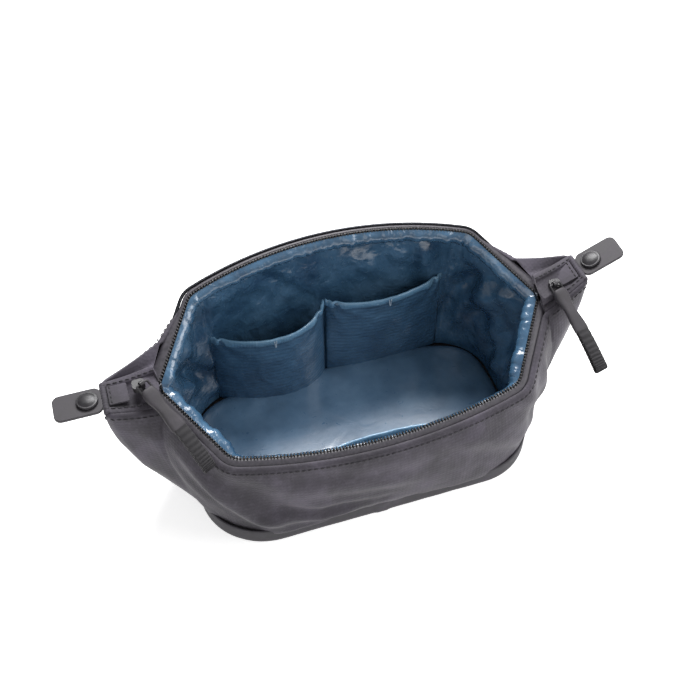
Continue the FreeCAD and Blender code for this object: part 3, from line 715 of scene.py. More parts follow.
CUFF = [(-1.1, -0.2), (-3.0, -0.8), (-5.4, -2.2), (-7.0, -5.0), (-6.6, -8.6), (-4.2, -11.6), (-2.8, -12.8)]
FLOOR_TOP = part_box("floor_pad")[1].z / MM
LINING_FALL = {
    "front": [(0, 4, 0, 22, 8, 30), (0.35, 4, 4, 18, 6, 22), (1, 0, 5, 15, 3, 20)],
    "back": [(0, 4, 0, 22, 8, 30), (0.35, 3, 2, 30, 6, 35), (1, 0, 3, 40, 2, 40)],
}
LINING_FOLDS = [
    (Vector((106, 50, 128)), Vector((125, 15, 30)), 10, 5.5),
    (Vector((112, 44, 110)), Vector((96, 66, 40)), 8, -5.5),
    (Vector((140, 22, 100)), Vector((104, 54, 62)), 11, 8.0),
    (Vector((140, -5, 88)), Vector((116, 30, 22)), 10, -6.5),
    (Vector((-106, 50, 128)), Vector((-122, 20, 30)), 9, 4.5),
    (Vector((-132, 25, 105)), Vector((-100, 62, 35)), 8, -4.0),
    (Vector((-138, 0, 95)), Vector((-112, -30, 25)), 9, 7.0),
    (Vector((-136, 26, 80)), Vector((-100, 50, 30)), 9, 6.0),
    (Vector((-128, 12, 70)), Vector((-104, 44, 16)), 8, 4.0),
    (Vector((128, 10, 60)), Vector((104, 46, 16)), 8, 3.5),
    (Vector((-60, 70, 138)), Vector((-20, 66, 96)), 7, -2.6),
    (Vector((20, 72, 140)), Vector((60, 66, 100)), 8, -3.0),
    (Vector((75, 70, 136)), Vector((90, 66, 60)), 7, 2.6),
]
SEAM_X = 97


def lining_column(side, place, sign, rows):
    """One line of lining: round the wire's channel, pinched at its seam, then down to the floor."""
    up = MOUTH_UP
    share = place
    base, out = zip_point(side, share, sign, 0, 0)
    gather = noise.noise(Vector((base.x / 5.5, base.y / 5.5, FACING[side] * 3.0)))
    tuck = noise.noise(Vector((base.x / 12, base.y / 12, 7 + FACING[side])))
    points = []
    # the front rail is pulled tight, the legs and the back are not
    fullness = 1 - 0.72 * min(1.0, max(0.0, (share - 0.3) / 0.15)) if side == "front" else 1.0
    for k, (a, b) in enumerate(CUFF):
        puff = math.sin(math.pi * k / (len(CUFF) - 1))
        swell = puff * (-2.6 * abs(gather) ** 0.7 - 1.6 * tuck)
        points.append(base + out * ((a + swell) * fullness) + up * (b + 2.2 * puff * tuck * fullness))
    low = points[-1]
    points.append(low + out * 1.0 + up * -0.8)
    start = points[-1]
    leave_out, leave_y, drop, foot_out, foot_up = blend_stations(LINING_FALL[side], place)
    run = piecewise(FOOT_RUN, NOTCH_SHARE * 0.35 + place * (1 - NOTCH_SHARE * 0.35))
    at, way = base_point(max(0.0, run - 26 * (1 - place)) if place else 0.0, 7.0)
    face = -FACING[side]
    foot = Vector((sign * at.x, face * at.y, FLOOR_TOP - 1.5))
    way = Vector((sign * way.x, face * way.y, 0))
    first = start + Vector((sign * leave_out, FACING[side] * leave_y, -drop))
    last = foot + way * foot_out + Vector((0, 0, foot_up))
    for i in range(1, rows + 1):
        points.append(bezier(start, first, last, foot, i / rows))
    return points, way


def lining_swell(at, way, share):
    """Wrinkles of a thin coated cloth: sharp-backed ridges over broad folds."""
    calm = min(1.0, share * 7) * min(1.0, (1 - share) * 7 + 0.1)
    broad = 2.6 * noise.noise(at / 30 + Vector((1, 8, 4)))
    ridge = noise.noise(Vector((at.x / 13, at.y / 13, at.z / 24)) + Vector((4, 1, 6)))
    ridges = 1.5 * (0.35 - abs(ridge))
    fine = 0.45 * noise.noise(at / 5.5)
    folds = sum(crease(at, *fold) for fold in LINING_FOLDS)
    seam = -1.6 * math.exp(-((abs(at.x) - SEAM_X) / 1.6) ** 2)
    return way * (-calm * (2.0 + broad + ridges + fine + folds) + calm * seam * -0.6)


def coated_nylon(name, shades, gloss_low, gloss_high, rib=None, bands="Y", relief=1.0):
    """Nylon with a smooth coat: mirror-like on its ridges, with a fine crinkle all over."""
    nylon = new_material(name)
    place = add(nylon, "TexCoord")
    solid = place.outputs["Object"]
    clouds = add(nylon, "TexNoise", {"Vector": solid, "Scale": 1 / (26 * MM), "Detail": 4,
                                     "Roughness": 0.55})
    crinkle = add(nylon, "TexNoise", {"Vector": solid, "Scale": 1 / (5 * MM), "Detail": 5,
                                      "Roughness": 0.5, "Distortion": 0.8})
    drape = add(nylon, "TexNoise", {"Vector": solid, "Scale": 1 / (17 * MM), "Detail": 2,
                                    "Distortion": 1.2})
    colour = add(nylon, "ValToRGB", {"Fac": clouds.outputs["Fac"]},
                 stops=zip((0.3, 0.5, 0.72), shades)).outputs["Color"]
    gloss = add(nylon, "MapRange", {"Value": crinkle.outputs["Fac"], "From Min": 0.3, "From Max": 0.7,
                                    "To Min": gloss_low, "To Max": gloss_high})
    height = crinkle.outputs["Fac"]
    if rib:
        ribs = add(nylon, "TexWave", {"Vector": place.outputs["UV"], "Scale": 2 / (rib * MM * 20),
                                      "Distortion": 0.6, "Detail": 1}, bands_direction=bands)
        height = add(nylon, "Math", {0: ribs.outputs["Fac"], 1: 0.7, 2: height},
                     operation="MULTIPLY_ADD").outputs["Value"]
    folds = add(nylon, "Bump", {"Height": drape.outputs["Fac"], "Distance": 2.2 * relief * MM,
                                "Strength": 0.8})
    bump = add(nylon, "Bump", {"Height": height, "Distance": 0.4 * relief * MM, "Strength": 0.8,
                               "Normal": folds.outputs["Normal"]})
    shader = add(nylon, "BsdfPrincipled", {
        "Base Color": colour, "Roughness": gloss.outputs["Result"], "Normal": bump.outputs["Normal"],
        "Specular IOR Level": 0.7, "Coat Weight": 0.7, "Coat Roughness": 0.1})
    add(nylon, "OutputMaterial", {"Surface": shader.outputs["BSDF"]})
    return nylon


lining_cloth = coated_nylon("coated nylon lining", ["#27435e", "#385873", "#4d6e8b"], 0.14, 0.3)
blue_thread = spun_thread("#24425a")
LINING_COLUMNS, LINING_ROWS = 150, 40
for side in ("front", "back"):
    columns = []
    for place, sign in places(LINING_COLUMNS):
        column, way = lining_column(side, place, sign, LINING_ROWS)
        start = len(CUFF)
        for k in range(start, len(column)):
            share = (k - start) / (len(column) - 1 - start)
            column[k] = column[k] + lining_swell(column[k], way, share)
        columns.append(column)
    cloth = grid_mesh(columns)
    path = [column[len(CUFF) - 2] for column in columns]
    inward = [Vector((-p.x, -p.y, 0)).normalized() for p in path]
    path = [p + way * 0.5 for p, way in zip(path, inward)]
    add_stitches(cloth, *stitches(path, inward, 2.4, 1.4, 0.32), 1)
    bmesh.ops.recalc_face_normals(cloth, faces=cloth.faces[:])
    hidden = {"front": ["front_lining", "front_wire_casing"],
              "back": ["back_lining", "back_wire_casing", "left_end_lining", "right_end_lining"]}
    split_and_bend(cloth, side, side + "_lining_cloth", [lining_cloth, blue_thread],
                   hidden[side], 7)


# Floor pad.
# Foam covered with the same coated nylon, pushed into the bottom of the bag. Slack at the edge, so it
# rises to a low crown and rolls down into the corner.

# the cushion's section: in from the edge, up from the board
PAD_RISE = [(1.8, 0), (0, 0), (0.5, 2.1), (1.6, 4.9), (3.6, 7.35), (7, 8.575), (14, 9.275), (26, 9.8),
            (40, 10.15), (54, 10.325), (66.5, 10.325)]
# the power of the superellipse that fits the pad's rounded corners
PAD_SQUARENESS = 4.6


def floor_pad():
    low, high = [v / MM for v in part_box("floor_pad")]
    half, deep = high.x - 0.4, high.y - 0.4
    rings, columns = [], 160
    for inset, lift in PAD_RISE:
        ring = []
        for k in range(columns):
            angle = 2 * math.pi * k / columns
            flat = Vector((math.cos(angle), math.sin(angle), 0))
            reach = (abs(flat.x / half) ** PAD_SQUARENESS + abs(flat.y / deep) ** PAD_SQUARENESS)
            at = flat * reach ** (-1 / PAD_SQUARENESS) * max(0.004, 1 - inset / deep)
            dent = 0.9 * noise.noise(Vector((at.x / 45, at.y / 45, 2))) + 0.35 * noise.noise(at / 14)
            ring.append(at + Vector((0, 0, low.z + 0.2 + lift + dent * min(1.0, inset / 10))))
        rings.append(ring)
    verts, faces = loft(rings, capped=True)
    # the pad's shades are lighter than the lining's, though it is the same nylon: painted light, for the
    # light that falls on the upturned pad
    piece = new_piece("floor_cushion", verts, faces, [coated_nylon(
        "coated nylon floor", ["#46637e", "#54728e", "#63819d"], 0.27, 0.36, relief=0.12)])
    fasten(piece, "coated_lining", "bag_body", "floor_pad")


floor_pad()


# Back pockets, front slip pocket and tag.
# Rib-knit polyester laminated to the coat, sewn to the back lining down three seams, with elastic bound
# over the top edges so that they dip. The front pocket is a flat slip with the same binding.

pale_thread = spun_thread("#8f9fae")
# creases that fan out from a pocket's top corners: angle below the edge, depth
GATHERS = [(0.35, 1.7), (0.62, -1.9), (0.92, 1.8), (1.2, -1.5)]


def pocket_cloth(node, low_bulge, lean, sag, reach_down, slope, stand=0):
    """One pocket: its top dips with the elastic, its foot bows less than its top."""
    low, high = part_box(node)
    low, high = low / MM, high / MM
    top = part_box(node + "_binding")[1].z / MM
    face = 1 if low.y > 0 else -1
    hang = (high.y if face > 0 else -low.y) - 0.4
    bulge = high.y - low.y - 1.0 + stand
    dip = top - high.z - 6 + sag
    middle, half = (low.x + high.x) / 2, (high.x - low.x) / 2
    rows, columns = 34, 72

    def at(across, down):
        lean_to = across + lean * (1 - across * across)
        arch = max(0.0, 1 - lean_to * lean_to) ** 0.75
        edge = top - dip * arch ** 0.9 - slope * (0.5 - 0.5 * across) ** 1.5
        z = edge + (low.z - reach_down - edge) * down
        bow = bulge * arch * (1 - down * (1 - low_bulge))
        wrinkle = 0.7 * noise.noise(Vector((across * 6, z / 16, middle))) * (1 - across * across)
        gather = 0.0
        for corner in (-1, 1):
            aside, under = (1 - corner * across) * half + 0.01, edge - z + 3
            reach = math.hypot(aside, under)
            turn = math.atan2(under, aside)
            pull = sum(d * math.exp(-((turn - a) / 0.13) ** 2) for a, d in GATHERS)
            gather += pull * min(1.0, reach / 8) * math.exp(-reach / 24)
        return Vector((middle + half * across, face * (hang - bow + wrinkle + gather), z))

    grid = [[at(-1 + 2 * i / columns, k / rows) for k in range(rows + 1)] for i in range(columns + 1)]
    cloth = grid_mesh(grid)
    bmesh.ops.recalc_face_normals(cloth, faces=cloth.faces[:])
    piece = piece_from(cloth, node + "_cloth", [rib_knit])
    thick = piece.modifiers.new("thickness", "SOLIDIFY")
    thick.thickness, thick.offset = 0.9 * MM, 0
    fasten(piece, "coated_lining", "bag_body", node)
    rings = []
    for i in range(columns * 2 + 1):
        across = -1 + i / columns
        here, below = at(across, 0), at(across, 0.08)
        down = (below - here).normalized()
        side_way = (at(min(1, across + 0.02), 0) - at(max(-1, across - 0.02), 0)).normalized()
        out = down.cross(side_way).normalized() * (1.15 + 0.12 * math.sin(i * 1.9))
        tall = 5.6
        rings.append([here + out * 0.7 + down * tall, here + out + down * (tall - 0.6),
                      here + out * 1.1 + down * 2.6, here + out * 0.8 - down * 0.2, here - down * 0.75,
                      here - out * 0.8 - down * 0.2, here - out * 1.1 + down * 2.6,
                      here - out + down * (tall - 0.6), here - out * 0.7 + down * tall])
    verts, faces = loft(rings, closed=True, capped=True)
    band = new_piece(node + "_elastic", verts, faces, [elastic])
    fasten(band, "pocket_binding", "bag_body", node + "_binding")
    if face > 0:
        for dx in (-0.9, 0.9):
            line = [at(0, 0) + Vector((dx, -1.9, 0.2)), at(0, 0) + Vector((dx * 0.4, -2.0, -4.6))]
            verts, faces = stitches(line, [Vector((0, -1, 0))], 2.2, 0.2, 0.45)
            tack = new_piece(f"{node}_bartack_{'a' if dx < 0 else 'b'}", verts, faces, [pale_thread])
            fasten(tack, "pocket_binding", "bag_body")


rib_knit = coated_nylon("rib-knit nylon", ["#30506c", "#3d5f7c", "#4b6f8d"], 0.4, 0.58, rib=1.3)
elastic = coated_nylon("bound elastic", ["#557e9d", "#628ba9", "#7099b5"], 0.4, 0.58, rib=1.2, bands="X")
pocket_cloth("left_back_pocket", 0.75, -0.18, 0, 1.5, 11)
pocket_cloth("right_back_pocket", 0.35, 0.1, 0, 1.5, 0)
pocket_cloth("front_slip_pocket", 0.5, 0.2, 0, 1.0, 0, stand=3)


def woven_tape():
    """Brushed grey-brown cotton: matt, with a fine twill."""
    cotton = new_material("cotton tag")
    place = add(cotton, "TexCoord").outputs["Object"]
    twill = add(cotton, "TexWave", {"Vector": place, "Scale": 2 / (1.2 * MM * 20), "Distortion": 0.5},
                bands_direction="DIAGONAL")
    colour = add(cotton, "ValToRGB", {"Fac": twill.outputs["Fac"]},
                 stops=[(0.2, "#3c383a"), (0.8, "#57524f")]).outputs["Color"]
    bump = add(cotton, "Bump", {"Height": twill.outputs["Fac"], "Distance": 0.15 * MM})
    shader = add(cotton, "BsdfPrincipled", {
        "Base Color": colour, "Roughness": 0.85, "Normal": bump.outputs["Normal"]})
    add(cotton, "OutputMaterial", {"Surface": shader.outputs["BSDF"]})
    return cotton


def inner_tag():
    low, high = [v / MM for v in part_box("inner_tag")]
    rings = []
    for k in range(13):
        t = k / 12
        y = high.y + 0.3 + 3.4 * math.sin(t * 2.2) ** 2
        z = high.z - (high.z - low.z) * t
        rings.append([Vector((low.x, y, z)), Vector((high.x, y + 0.8 * t, z)),
                      Vector((high.x, y + 0.8 * t + 0.7, z)), Vector((low.x, y + 0.7, z))])
    verts, faces = loft(rings, capped=True)
    piece = new_piece("inner_tag_cloth", verts, faces, [woven_tape()])
    fasten(piece, "woven_tag", "bag_body", "inner_tag")


inner_tag()


# Zip.
# A nylon coil zip, one half sewn to each side of the mouth: monofilament loops over a cord, on a tape
# whose face is coated smooth and grey. The back tape is turned down over the edge.

def coated_tape():
    """Polyurethane-coated tape: smooth, charcoal, a soft broad shine, faint length-wise lines."""
    tape = new_material("coated zip tape")
    flat = add(tape, "TexCoord").outputs["Object"]
    lines = add(tape, "TexNoise", {"Vector": flat, "Scale": 1 / (2.2 * MM), "Detail": 4})
    colour = add(tape, "ValToRGB", {"Fac": lines.outputs["Fac"]},
                 stops=[(0.35, "#333137"), (0.65, "#413e45")]).outputs["Color"]
    gloss = add(tape, "MapRange", {"Value": lines.outputs["Fac"], "To Min": 0.38, "To Max": 0.55})
    bump = add(tape, "Bump", {"Height": lines.outputs["Fac"], "Distance": 0.05 * MM})
    shader = add(tape, "BsdfPrincipled", {
        "Base Color": colour, "Roughness": gloss.outputs["Result"], "Normal": bump.outputs["Normal"]})
    add(tape, "OutputMaterial", {"Surface": shader.outputs["BSDF"]})
    return tape


def coil_nylon():
    """Drawn nylon monofilament: near-black, with small sharp lights on each loop."""
    nylon = new_material("coil nylon")
    place = add(nylon, "TexCoord").outputs["Object"]
    haze = add(nylon, "TexNoise", {"Vector": place, "Scale": 1 / (4 * MM), "Detail": 3})
    colour = add(nylon, "ValToRGB", {"Fac": haze.outputs["Fac"]},
                 stops=[(0.35, "#1b1a1c"), (0.65, "#2a292b")]).outputs["Color"]
    gloss = add(nylon, "MapRange", {"Value": haze.outputs["Fac"], "To Min": 0.22, "To Max": 0.36})
    shader = add(nylon, "BsdfPrincipled", {"Base Color": colour, "Roughness": gloss.outputs["Result"]})
    add(nylon, "OutputMaterial", {"Surface": shader.outputs["BSDF"]})
    return nylon


TOOTH_PITCH = 2.3
# the tape's section: out from the zip, up from the mouth
TAPE_LIE = {
    "front": [(0.2, -0.7), (0.4, -0.35), (2.2, -0.15), (4.4, -0.3), (7.2, -1.1), (7.2, -1.5), (4.2, -0.9),
              (2, -0.75), (0.4, -0.95)],
    "back": [(0.2, -0.7), (0.4, -0.35), (1.6, -0.15), (2.7, -0.7), (3.4, -2.2), (3.4, -2.6), (2.7, -2.2),
             (1.8, -1.1), (0.4, -0.95)],
}
tape_cloth, tooth_nylon = coated_tape(), coil_nylon()


def zip_places(side, pitch):
    """Even steps along the zip from the -X pin to the +X pin, as (share, sign)."""
    fine = [(i / 600, -1) for i in range(6, 601)] + [(i / 600, 1) for i in range(599, 5, -1)]
    spots, gone = [fine[0]], 0.0
    last = zip_point(side, *fine[0], 0, 0)[0]
    for spot in fine[1:]:
        here = zip_point(side, *spot, 0, 0)[0]
        gone += (here - last).length
        last = here
        if gone >= pitch:
            gone -= pitch
            spots.append(spot)
    return spots


def zip_tape(side):
    rings = []
    for share, sign in zip_places(side, 2.4):
        base, out = zip_point(side, share, sign, 0, 0)
        turned = min(1.0, max(0.0, (share - 0.15) / 0.13)) if side == "back" else 0.0
        flat = [base + out * a + MOUTH_UP * b for a, b in TAPE_LIE["front"]]
        down = [base + out * a + MOUTH_UP * b for a, b in TAPE_LIE["back"]]
        rings.append([a.lerp(b, turned) for a, b in zip(flat, down)])
    verts, faces = loft(rings, capped=True)
    piece = new_piece(side + "_zip_tape_cloth", verts, faces, [tape_cloth])
    fasten(piece, "zip_tape", side + "_frame", side + "_zip_tape")


def zip_teeth(side):
    """Each loop of the coil, with its head turned up, on a round cord."""
    verts, faces, cord = [], [], []
    for share, sign in zip_places(side, TOOTH_PITCH):
        base, out = zip_point(side, share, sign, 0, 0)
        along = out.cross(MOUTH_UP).normalized()
        start = len(verts)
        spine = [(1.1, -0.55), (0.5, 0.1), (-0.3, 0.35), (-1.1, 0.15), (-1.5, -0.45), (-1.1, -1.0)]
        girth = [0.4, 0.5, 0.55, 0.7, 0.78, 0.45]
        for (a, b), wide in zip(spine, girth):
            for corner in range(6):
                angle = corner * math.pi / 3
                ring = along * math.cos(angle) + (MOUTH_UP * 0.6 + out * 0.4) * math.sin(angle)
                verts.append(base + out * a + MOUTH_UP * b + ring * wide)
        for row in range(len(spine) - 1):
            for corner in range(6):
                nxt = (corner + 1) % 6
                faces.append((start + row * 6 + corner, start + row * 6 + nxt,
                              start + row * 6 + 6 + nxt, start + row * 6 + 6 + corner))
        faces.append(tuple(start + 5 - c for c in range(6)))
        faces.append(tuple(start + (len(spine) - 1) * 6 + c for c in range(6)))
        cord.append([base + out * (0.2 + 0.5 * math.cos(c * math.pi / 3))
                     + MOUTH_UP * (-0.7 + 0.5 * math.sin(c * math.pi / 3)) for c in range(6)])
    more, sides = loft(cord, capped=True)
    faces += [tuple(i + len(verts) for i in face) for face in sides]
    piece = new_piece(side + "_zip_loops", verts + more, faces, [tooth_nylon])
    fasten(piece, "zip_coil", side + "_frame", side + "_zip_coil")


for side in ("front", "back"):
    zip_tape(side)
    zip_teeth(side)


# Wings.
# The zip runs out into a slot at each end of the bag. The canvas is folded and stitched along both
# sides of the slot, a patch closes its outer half, and a piped edge holds the tab.

# the section across a wing, from its edge to the slot's floor: in from the edge, up
WING_HEM = [(-0.5, -3.0), (-0.9, -1.4), (-0.6, -0.1), (0.5, 0.75), (2.4, 0.9), (4.2, 0.8), (4.9, 0.3),
            (5.0, -0.5), (5.4, -1.0)]


PIN_TOP = HINGE + 4.85


def wing_top(sign):
    """The slot with its two hems, from the mouth's end to the piping."""
    hand = HANDS[sign]
    rings, stitch_lines = [], [[], []]
    steps, cover = 22, 5
    for i in range(-cover, steps + 1):
        t = max(0, i) / steps
        edges = []
        for side in ("front", "back"):
            edge = wing_notch(side, sign).lerp(wing_corner(sign, FACING[side]), t)
            edge.z -= 1.2 * math.sin(math.pi * t) - 0.25
            inner = Vector((sign * 141.6, FACING[side] * 5.5, HINGE + 4.2 + FACING[side] * 2.2))
            edges.append(edge.lerp(inner, max(0, -i) / cover))
        across = (edges[1] - edges[0]).normalized()
        up = Vector((1, 0, 0)).cross(across).normalized()
        front = [edges[0] + across * a + up * b for a, b in WING_HEM]
        back = [edges[1] - across * a + up * b for a, b in reversed(WING_HEM)]
        middle = (front[-1] + back[0]) / 2 - up * 0.3
        # the floor of the slot is pushed up over the ends of the mouth's wires
        hump = math.exp(-((abs(middle.x) - 146) / 9) ** 4)
        middle.z += max(0.0, PIN_TOP - middle.z) * hump
        for point in (front[-1], front[-2], back[0], back[1]):
            point.z += max(0.0, PIN_TOP - 0.5 - point.z) * hump
        rise = wing_notch("back", sign, WING_JOIN["back"]).lerp(wing_corner(sign, 1), t)
        slope = [back[-1].lerp(rise, k / 4) + up * 0.8 * math.sin(math.pi * k / 4) for k in (1, 2, 3, 4)]
        rings.append(front + [middle] + back + (slope if i >= 0 else [back[-1]] * 4))
        if i >= 0:
            stitch_lines[0].append(edges[0] + across * 3.1 + up * 1.0)
            stitch_lines[1].append(edges[1] - across * 3.1 + up * 1.0)
    made = grid_mesh(rings)
    for line in stitch_lines:
        add_stitches(made, *stitches(line, [Vector((0, 0, 1))] * steps), 1)
    bmesh.ops.recalc_face_normals(made, faces=made.faces[:])
    piece = piece_from(made, hand + "_wing_slot", [canvas, dark_thread])
    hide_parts(hand + "_wing_panel")
    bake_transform(piece)


def wing_axes(sign):
    """The wing's own directions: out along it, across it and up from it."""
    low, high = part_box(HANDS[sign] + "_tab")
    joint = next(j for j in frame["joints"] if j["name"] == HANDS[sign] + "_tab_bend")
    root = Vector(joint["pos_m"]) / MM
    fold = next(j for j in frame["joints"] if j["name"] == HANDS[sign] + "_wing_fold")
    out = (root - Vector(fold["pos_m"]) / MM)
    out.y = 0
    out.normalize()
    across = Vector((0, 1, 0))
    up = out.cross(across) if sign > 0 else across.cross(out)
    if up.z < 0:
        up = -up
    root.y = (low.y + high.y) / 2 / MM
    return root, out, across, up


def soft_slab(name, corners, thick, up, material, roll, round_by):
    """A flat piece with rolled edges: corners are its outline, round_by the radius at its corners."""
    made = bmesh.new()
    face = made.faces.new([made.verts.new(c * MM) for c in corners])
    made.normal_update()
    push = bmesh.ops.extrude_face_region(made, geom=[face])
    lifted = [v for v in push["geom"] if isinstance(v, bmesh.types.BMVert)]
    bmesh.ops.translate(made, verts=lifted, vec=up * thick * MM)
    bmesh.ops.recalc_face_normals(made, faces=made.faces[:])
    uprights = [e for e in made.edges
                if abs((e.verts[1].co - e.verts[0].co).normalized().dot(up)) > 0.95]
    bmesh.ops.bevel(made, geom=uprights, offset=round_by * MM, segments=8, affect="EDGES", profile=0.5)
    rims = [e for e in made.edges if len(e.link_faces) == 2 and e.calc_face_angle(0) > 0.9]
    bmesh.ops.bevel(made, geom=rims, offset=roll * MM, segments=3, affect="EDGES", profile=0.6)
    piece = piece_from(made, name, [material])
    smooth = piece.modifiers.new("even shading", "WEIGHTED_NORMAL")
    smooth.keep_sharp = False
    return piece


def wing_patch(sign):
    hand = HANDS[sign]
    root, out, across, up = wing_axes(sign)
    near, far, half = -19.0, -5.6, 8.2
    corners = [root + out * a + across * b + up * 1.0
               for a, b in ((near, -half), (far, -half), (far, half), (near, half))]
    piece = soft_slab(hand + "_wing_patch_cloth", corners, 1.3, up, canvas, 0.4, 0.8)
    fasten(piece, "waxed_canvas", hand + "_wing", hand + "_wing_patch")
    line = [root + out * (far - 1.9) + across * (b * half * 0.88) + up * 2.35 for b in (-1, -0.33, 0.33, 1)]
    verts, faces = stitches(line, [up] * 3)
    seam = new_piece(hand + "_patch_stitching", verts, faces, [dark_thread])
    fasten(seam, "waxed_canvas", hand + "_wing")


def wing_piping(sign):
    """Canvas rolled over a cord, puckered a little between its stitches, rounded off at the ends."""
    hand = HANDS[sign]
    _, out, across, up = wing_axes(sign)
    low, high = [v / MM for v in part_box(hand + "_wing_piping")]
    centre = (low + high) / 2
    half = (high.y - low.y) / 2
    rings = []
    steps = 46
    for i in range(steps + 1):
        t = -1 + 2 * i / steps
        end = math.sqrt(max(0.0, 1 - max(0.0, (abs(t) - 0.9) / 0.1) ** 2))
        girth = (2.3 + 0.12 * math.sin(i * 1.7)) * max(0.15, end)
        rings.append([centre + across * (t * (half + 0.8)) + (out * math.cos(a) + up * math.sin(a)) * girth
                      for a in [c * math.pi / 8 for c in range(16)]])
    verts, faces = loft(rings, capped=True)
    piece = new_piece(hand + "_piping_roll", verts, faces, [canvas])
    fasten(piece, "moulded_rubber", hand + "_wing", hand + "_wing_piping")


for sign in HANDS:
    wing_top(sign)
    wing_patch(sign)
    wing_piping(sign)


# Tabs and snap fasteners.
# A die-cut strap of rubber-coated webbing on each wing, riveted through with a snap: a domed, baked
# black cap above and its stud below. The stud bites into a socket set in the end wall.

def moulded_rubber():
    """Thermoplastic rubber: matt charcoal with a fine eroded texture that dulls its highlights."""
    rubber = new_material("moulded rubber")
    place = add(rubber, "TexCoord").outputs["Object"]
    spark = add(rubber, "TexVoronoi", {"Vector": place, "Scale": 1 / (0.55 * MM)})
    bloom = add(rubber, "TexNoise", {"Vector": place, "Scale": 1 / (9 * MM), "Detail": 5})
    colour = add(rubber, "ValToRGB", {"Fac": bloom.outputs["Fac"]},
                 stops=[(0.3, "#2b282c"), (0.55, "#343136"), (0.75, "#3f3b41")]).outputs["Color"]
    gloss = add(rubber, "MapRange", {"Value": bloom.outputs["Fac"], "To Min": 0.5, "To Max": 0.75})
    bump = add(rubber, "Bump", {"Height": spark.outputs["Distance"], "Distance": 0.06 * MM,
                                "Strength": 0.5})
    shader = add(rubber, "BsdfPrincipled", {
        "Base Color": colour, "Roughness": gloss.outputs["Result"], "Normal": bump.outputs["Normal"]})
    add(rubber, "OutputMaterial", {"Surface": shader.outputs["BSDF"]})
    return rubber


def baked_black():
    """Zinc or brass under baked black lacquer: soft gloss, faint orange peel."""
    lacquer = new_material("baked black lacquer")
    place = add(lacquer, "TexCoord").outputs["Object"]
    peel = add(lacquer, "TexNoise", {"Vector": place, "Scale": 1 / (0.8 * MM), "Detail": 2})
    wear = add(lacquer, "TexNoise", {"Vector": place, "Scale": 1 / (5 * MM), "Detail": 5})
    colour = add(lacquer, "ValToRGB", {"Fac": wear.outputs["Fac"]},
                 stops=[(0.4, "#232225"), (0.7, "#2f2d31")]).outputs["Color"]
    gloss = add(lacquer, "MapRange", {"Value": wear.outputs["Fac"], "To Min": 0.28, "To Max": 0.5})
    bump = add(lacquer, "Bump", {"Height": peel.outputs["Fac"], "Distance": 0.02 * MM})
    shader = add(lacquer, "BsdfPrincipled", {
        "Base Color": colour, "Roughness": gloss.outputs["Result"], "Normal": bump.outputs["Normal"],
        "Metallic": 0.2})
    add(lacquer, "OutputMaterial", {"Surface": shader.outputs["BSDF"]})
    return lacquer


rubber, lacquer = moulded_rubber(), baked_black()
TAB_LENGTH, TAB_HALF, TAB_THICK = 31.5, 11, 2.2
CAP_INSET = 8.4
# the cap's outline: out from its centre, up from the tab
CAP_TURN = [(7.35, 0.0), (7.5, 0.35), (7.5, 1.5), (7.3, 2.0), (6.7, 2.25), (6.3, 2.1), (5.9, 2.3),
            (4.6, 2.9), (3.0, 3.22), (1.4, 3.36), (0.05, 3.4)]


def lathe(name, turn, centre, out, across, up, material):
    """A round piece turned from its outline about the up axis."""
    count = 48
    rings = [[centre + (out * math.cos(a) + across * math.sin(a)) * r + up * h
              for a in [2 * math.pi * c / count for c in range(count)]] for r, h in turn]
    verts, faces = loft(rings, capped=True)
    return new_piece(name, verts, faces, [material])


def tab(sign):
    hand = HANDS[sign]
    root, out, across, up = wing_axes(sign)
    start = root - up * (TAB_THICK / 2) - out * 1.2
    corners = [start + across * -TAB_HALF, start + out * (TAB_LENGTH + 1.2) - across * TAB_HALF,
               start + out * (TAB_LENGTH + 1.2) + across * TAB_HALF, start + across * TAB_HALF]
    strap = soft_slab(hand + "_tab_strap", corners, TAB_THICK, up, rubber, 0.55, 5.2)
    fasten(strap, "moulded_rubber", hand + "_tab_body", hand + "_tab")
    centre = root + out * CAP_INSET + up * (TAB_THICK / 2)
    cap = lathe(hand + "_snap_dome", CAP_TURN, centre, out, across, up, lacquer)
    fasten(cap, "blackened_metal", hand + "_tab_body", hand + "_snap_cap")
    dress(hand + "_snap_stud", lacquer)
    dress(hand + "_snap_socket", lacquer)


for sign in HANDS:
    tab(sign)


# Sliders and pulls.
# A cast slider is parked past each end of the zip. Its wire bail holds a moulded rubber grip, and a
# loop of ribbed webbing comes out of the grip's foot.

def slider(sign):
    hand = HANDS[sign]
    dress(hand + "_slider", lacquer)
    edges = cad[hand + "_slider"].modifiers.new("cast edges", "BEVEL")
    edges.width, edges.segments, edges.limit_method = 0.5 * MM, 3, "ANGLE"
    dress(hand + "_pull_bail", lacquer)


def pull_axes(sign):
    """The pull's own place and directions: down its length, across it, and up from it."""
    joints = {j["name"]: j for j in frame["joints"]}
    lug = Vector(joints[HANDS[sign] + "_bail_swing"]["pos_m"]) / MM
    link = Vector(joints[HANDS[sign] + "_pull_swing"]["pos_m"]) / MM
    down = (link - lug).normalized()
    across = Vector(joints[HANDS[sign] + "_pull_swing"]["axis"])
    up = down.cross(across)
    if up.z < 0:
        across, up = -across, -up
    return lug, down, across, up


# along the grip from the lug, half its width, half its thickness
GRIP = [(4.6, 2.6, 1.6), (5.0, 4.4, 2.4), (6.5, 5.2, 3.0), (9.5, 5.8, 3.1), (13, 5.9, 2.7), (17, 4.9, 2.2),
        (21, 4.3, 2.2), (26, 4.5, 2.5), (31, 5.3, 2.4), (36, 5.8, 2.0), (39.2, 5.9, 1.8), (40, 5.6, 1.5)]
LOOP_START, LOOP_END, LOOP_HALF = 39.0, 70.0, 4.9


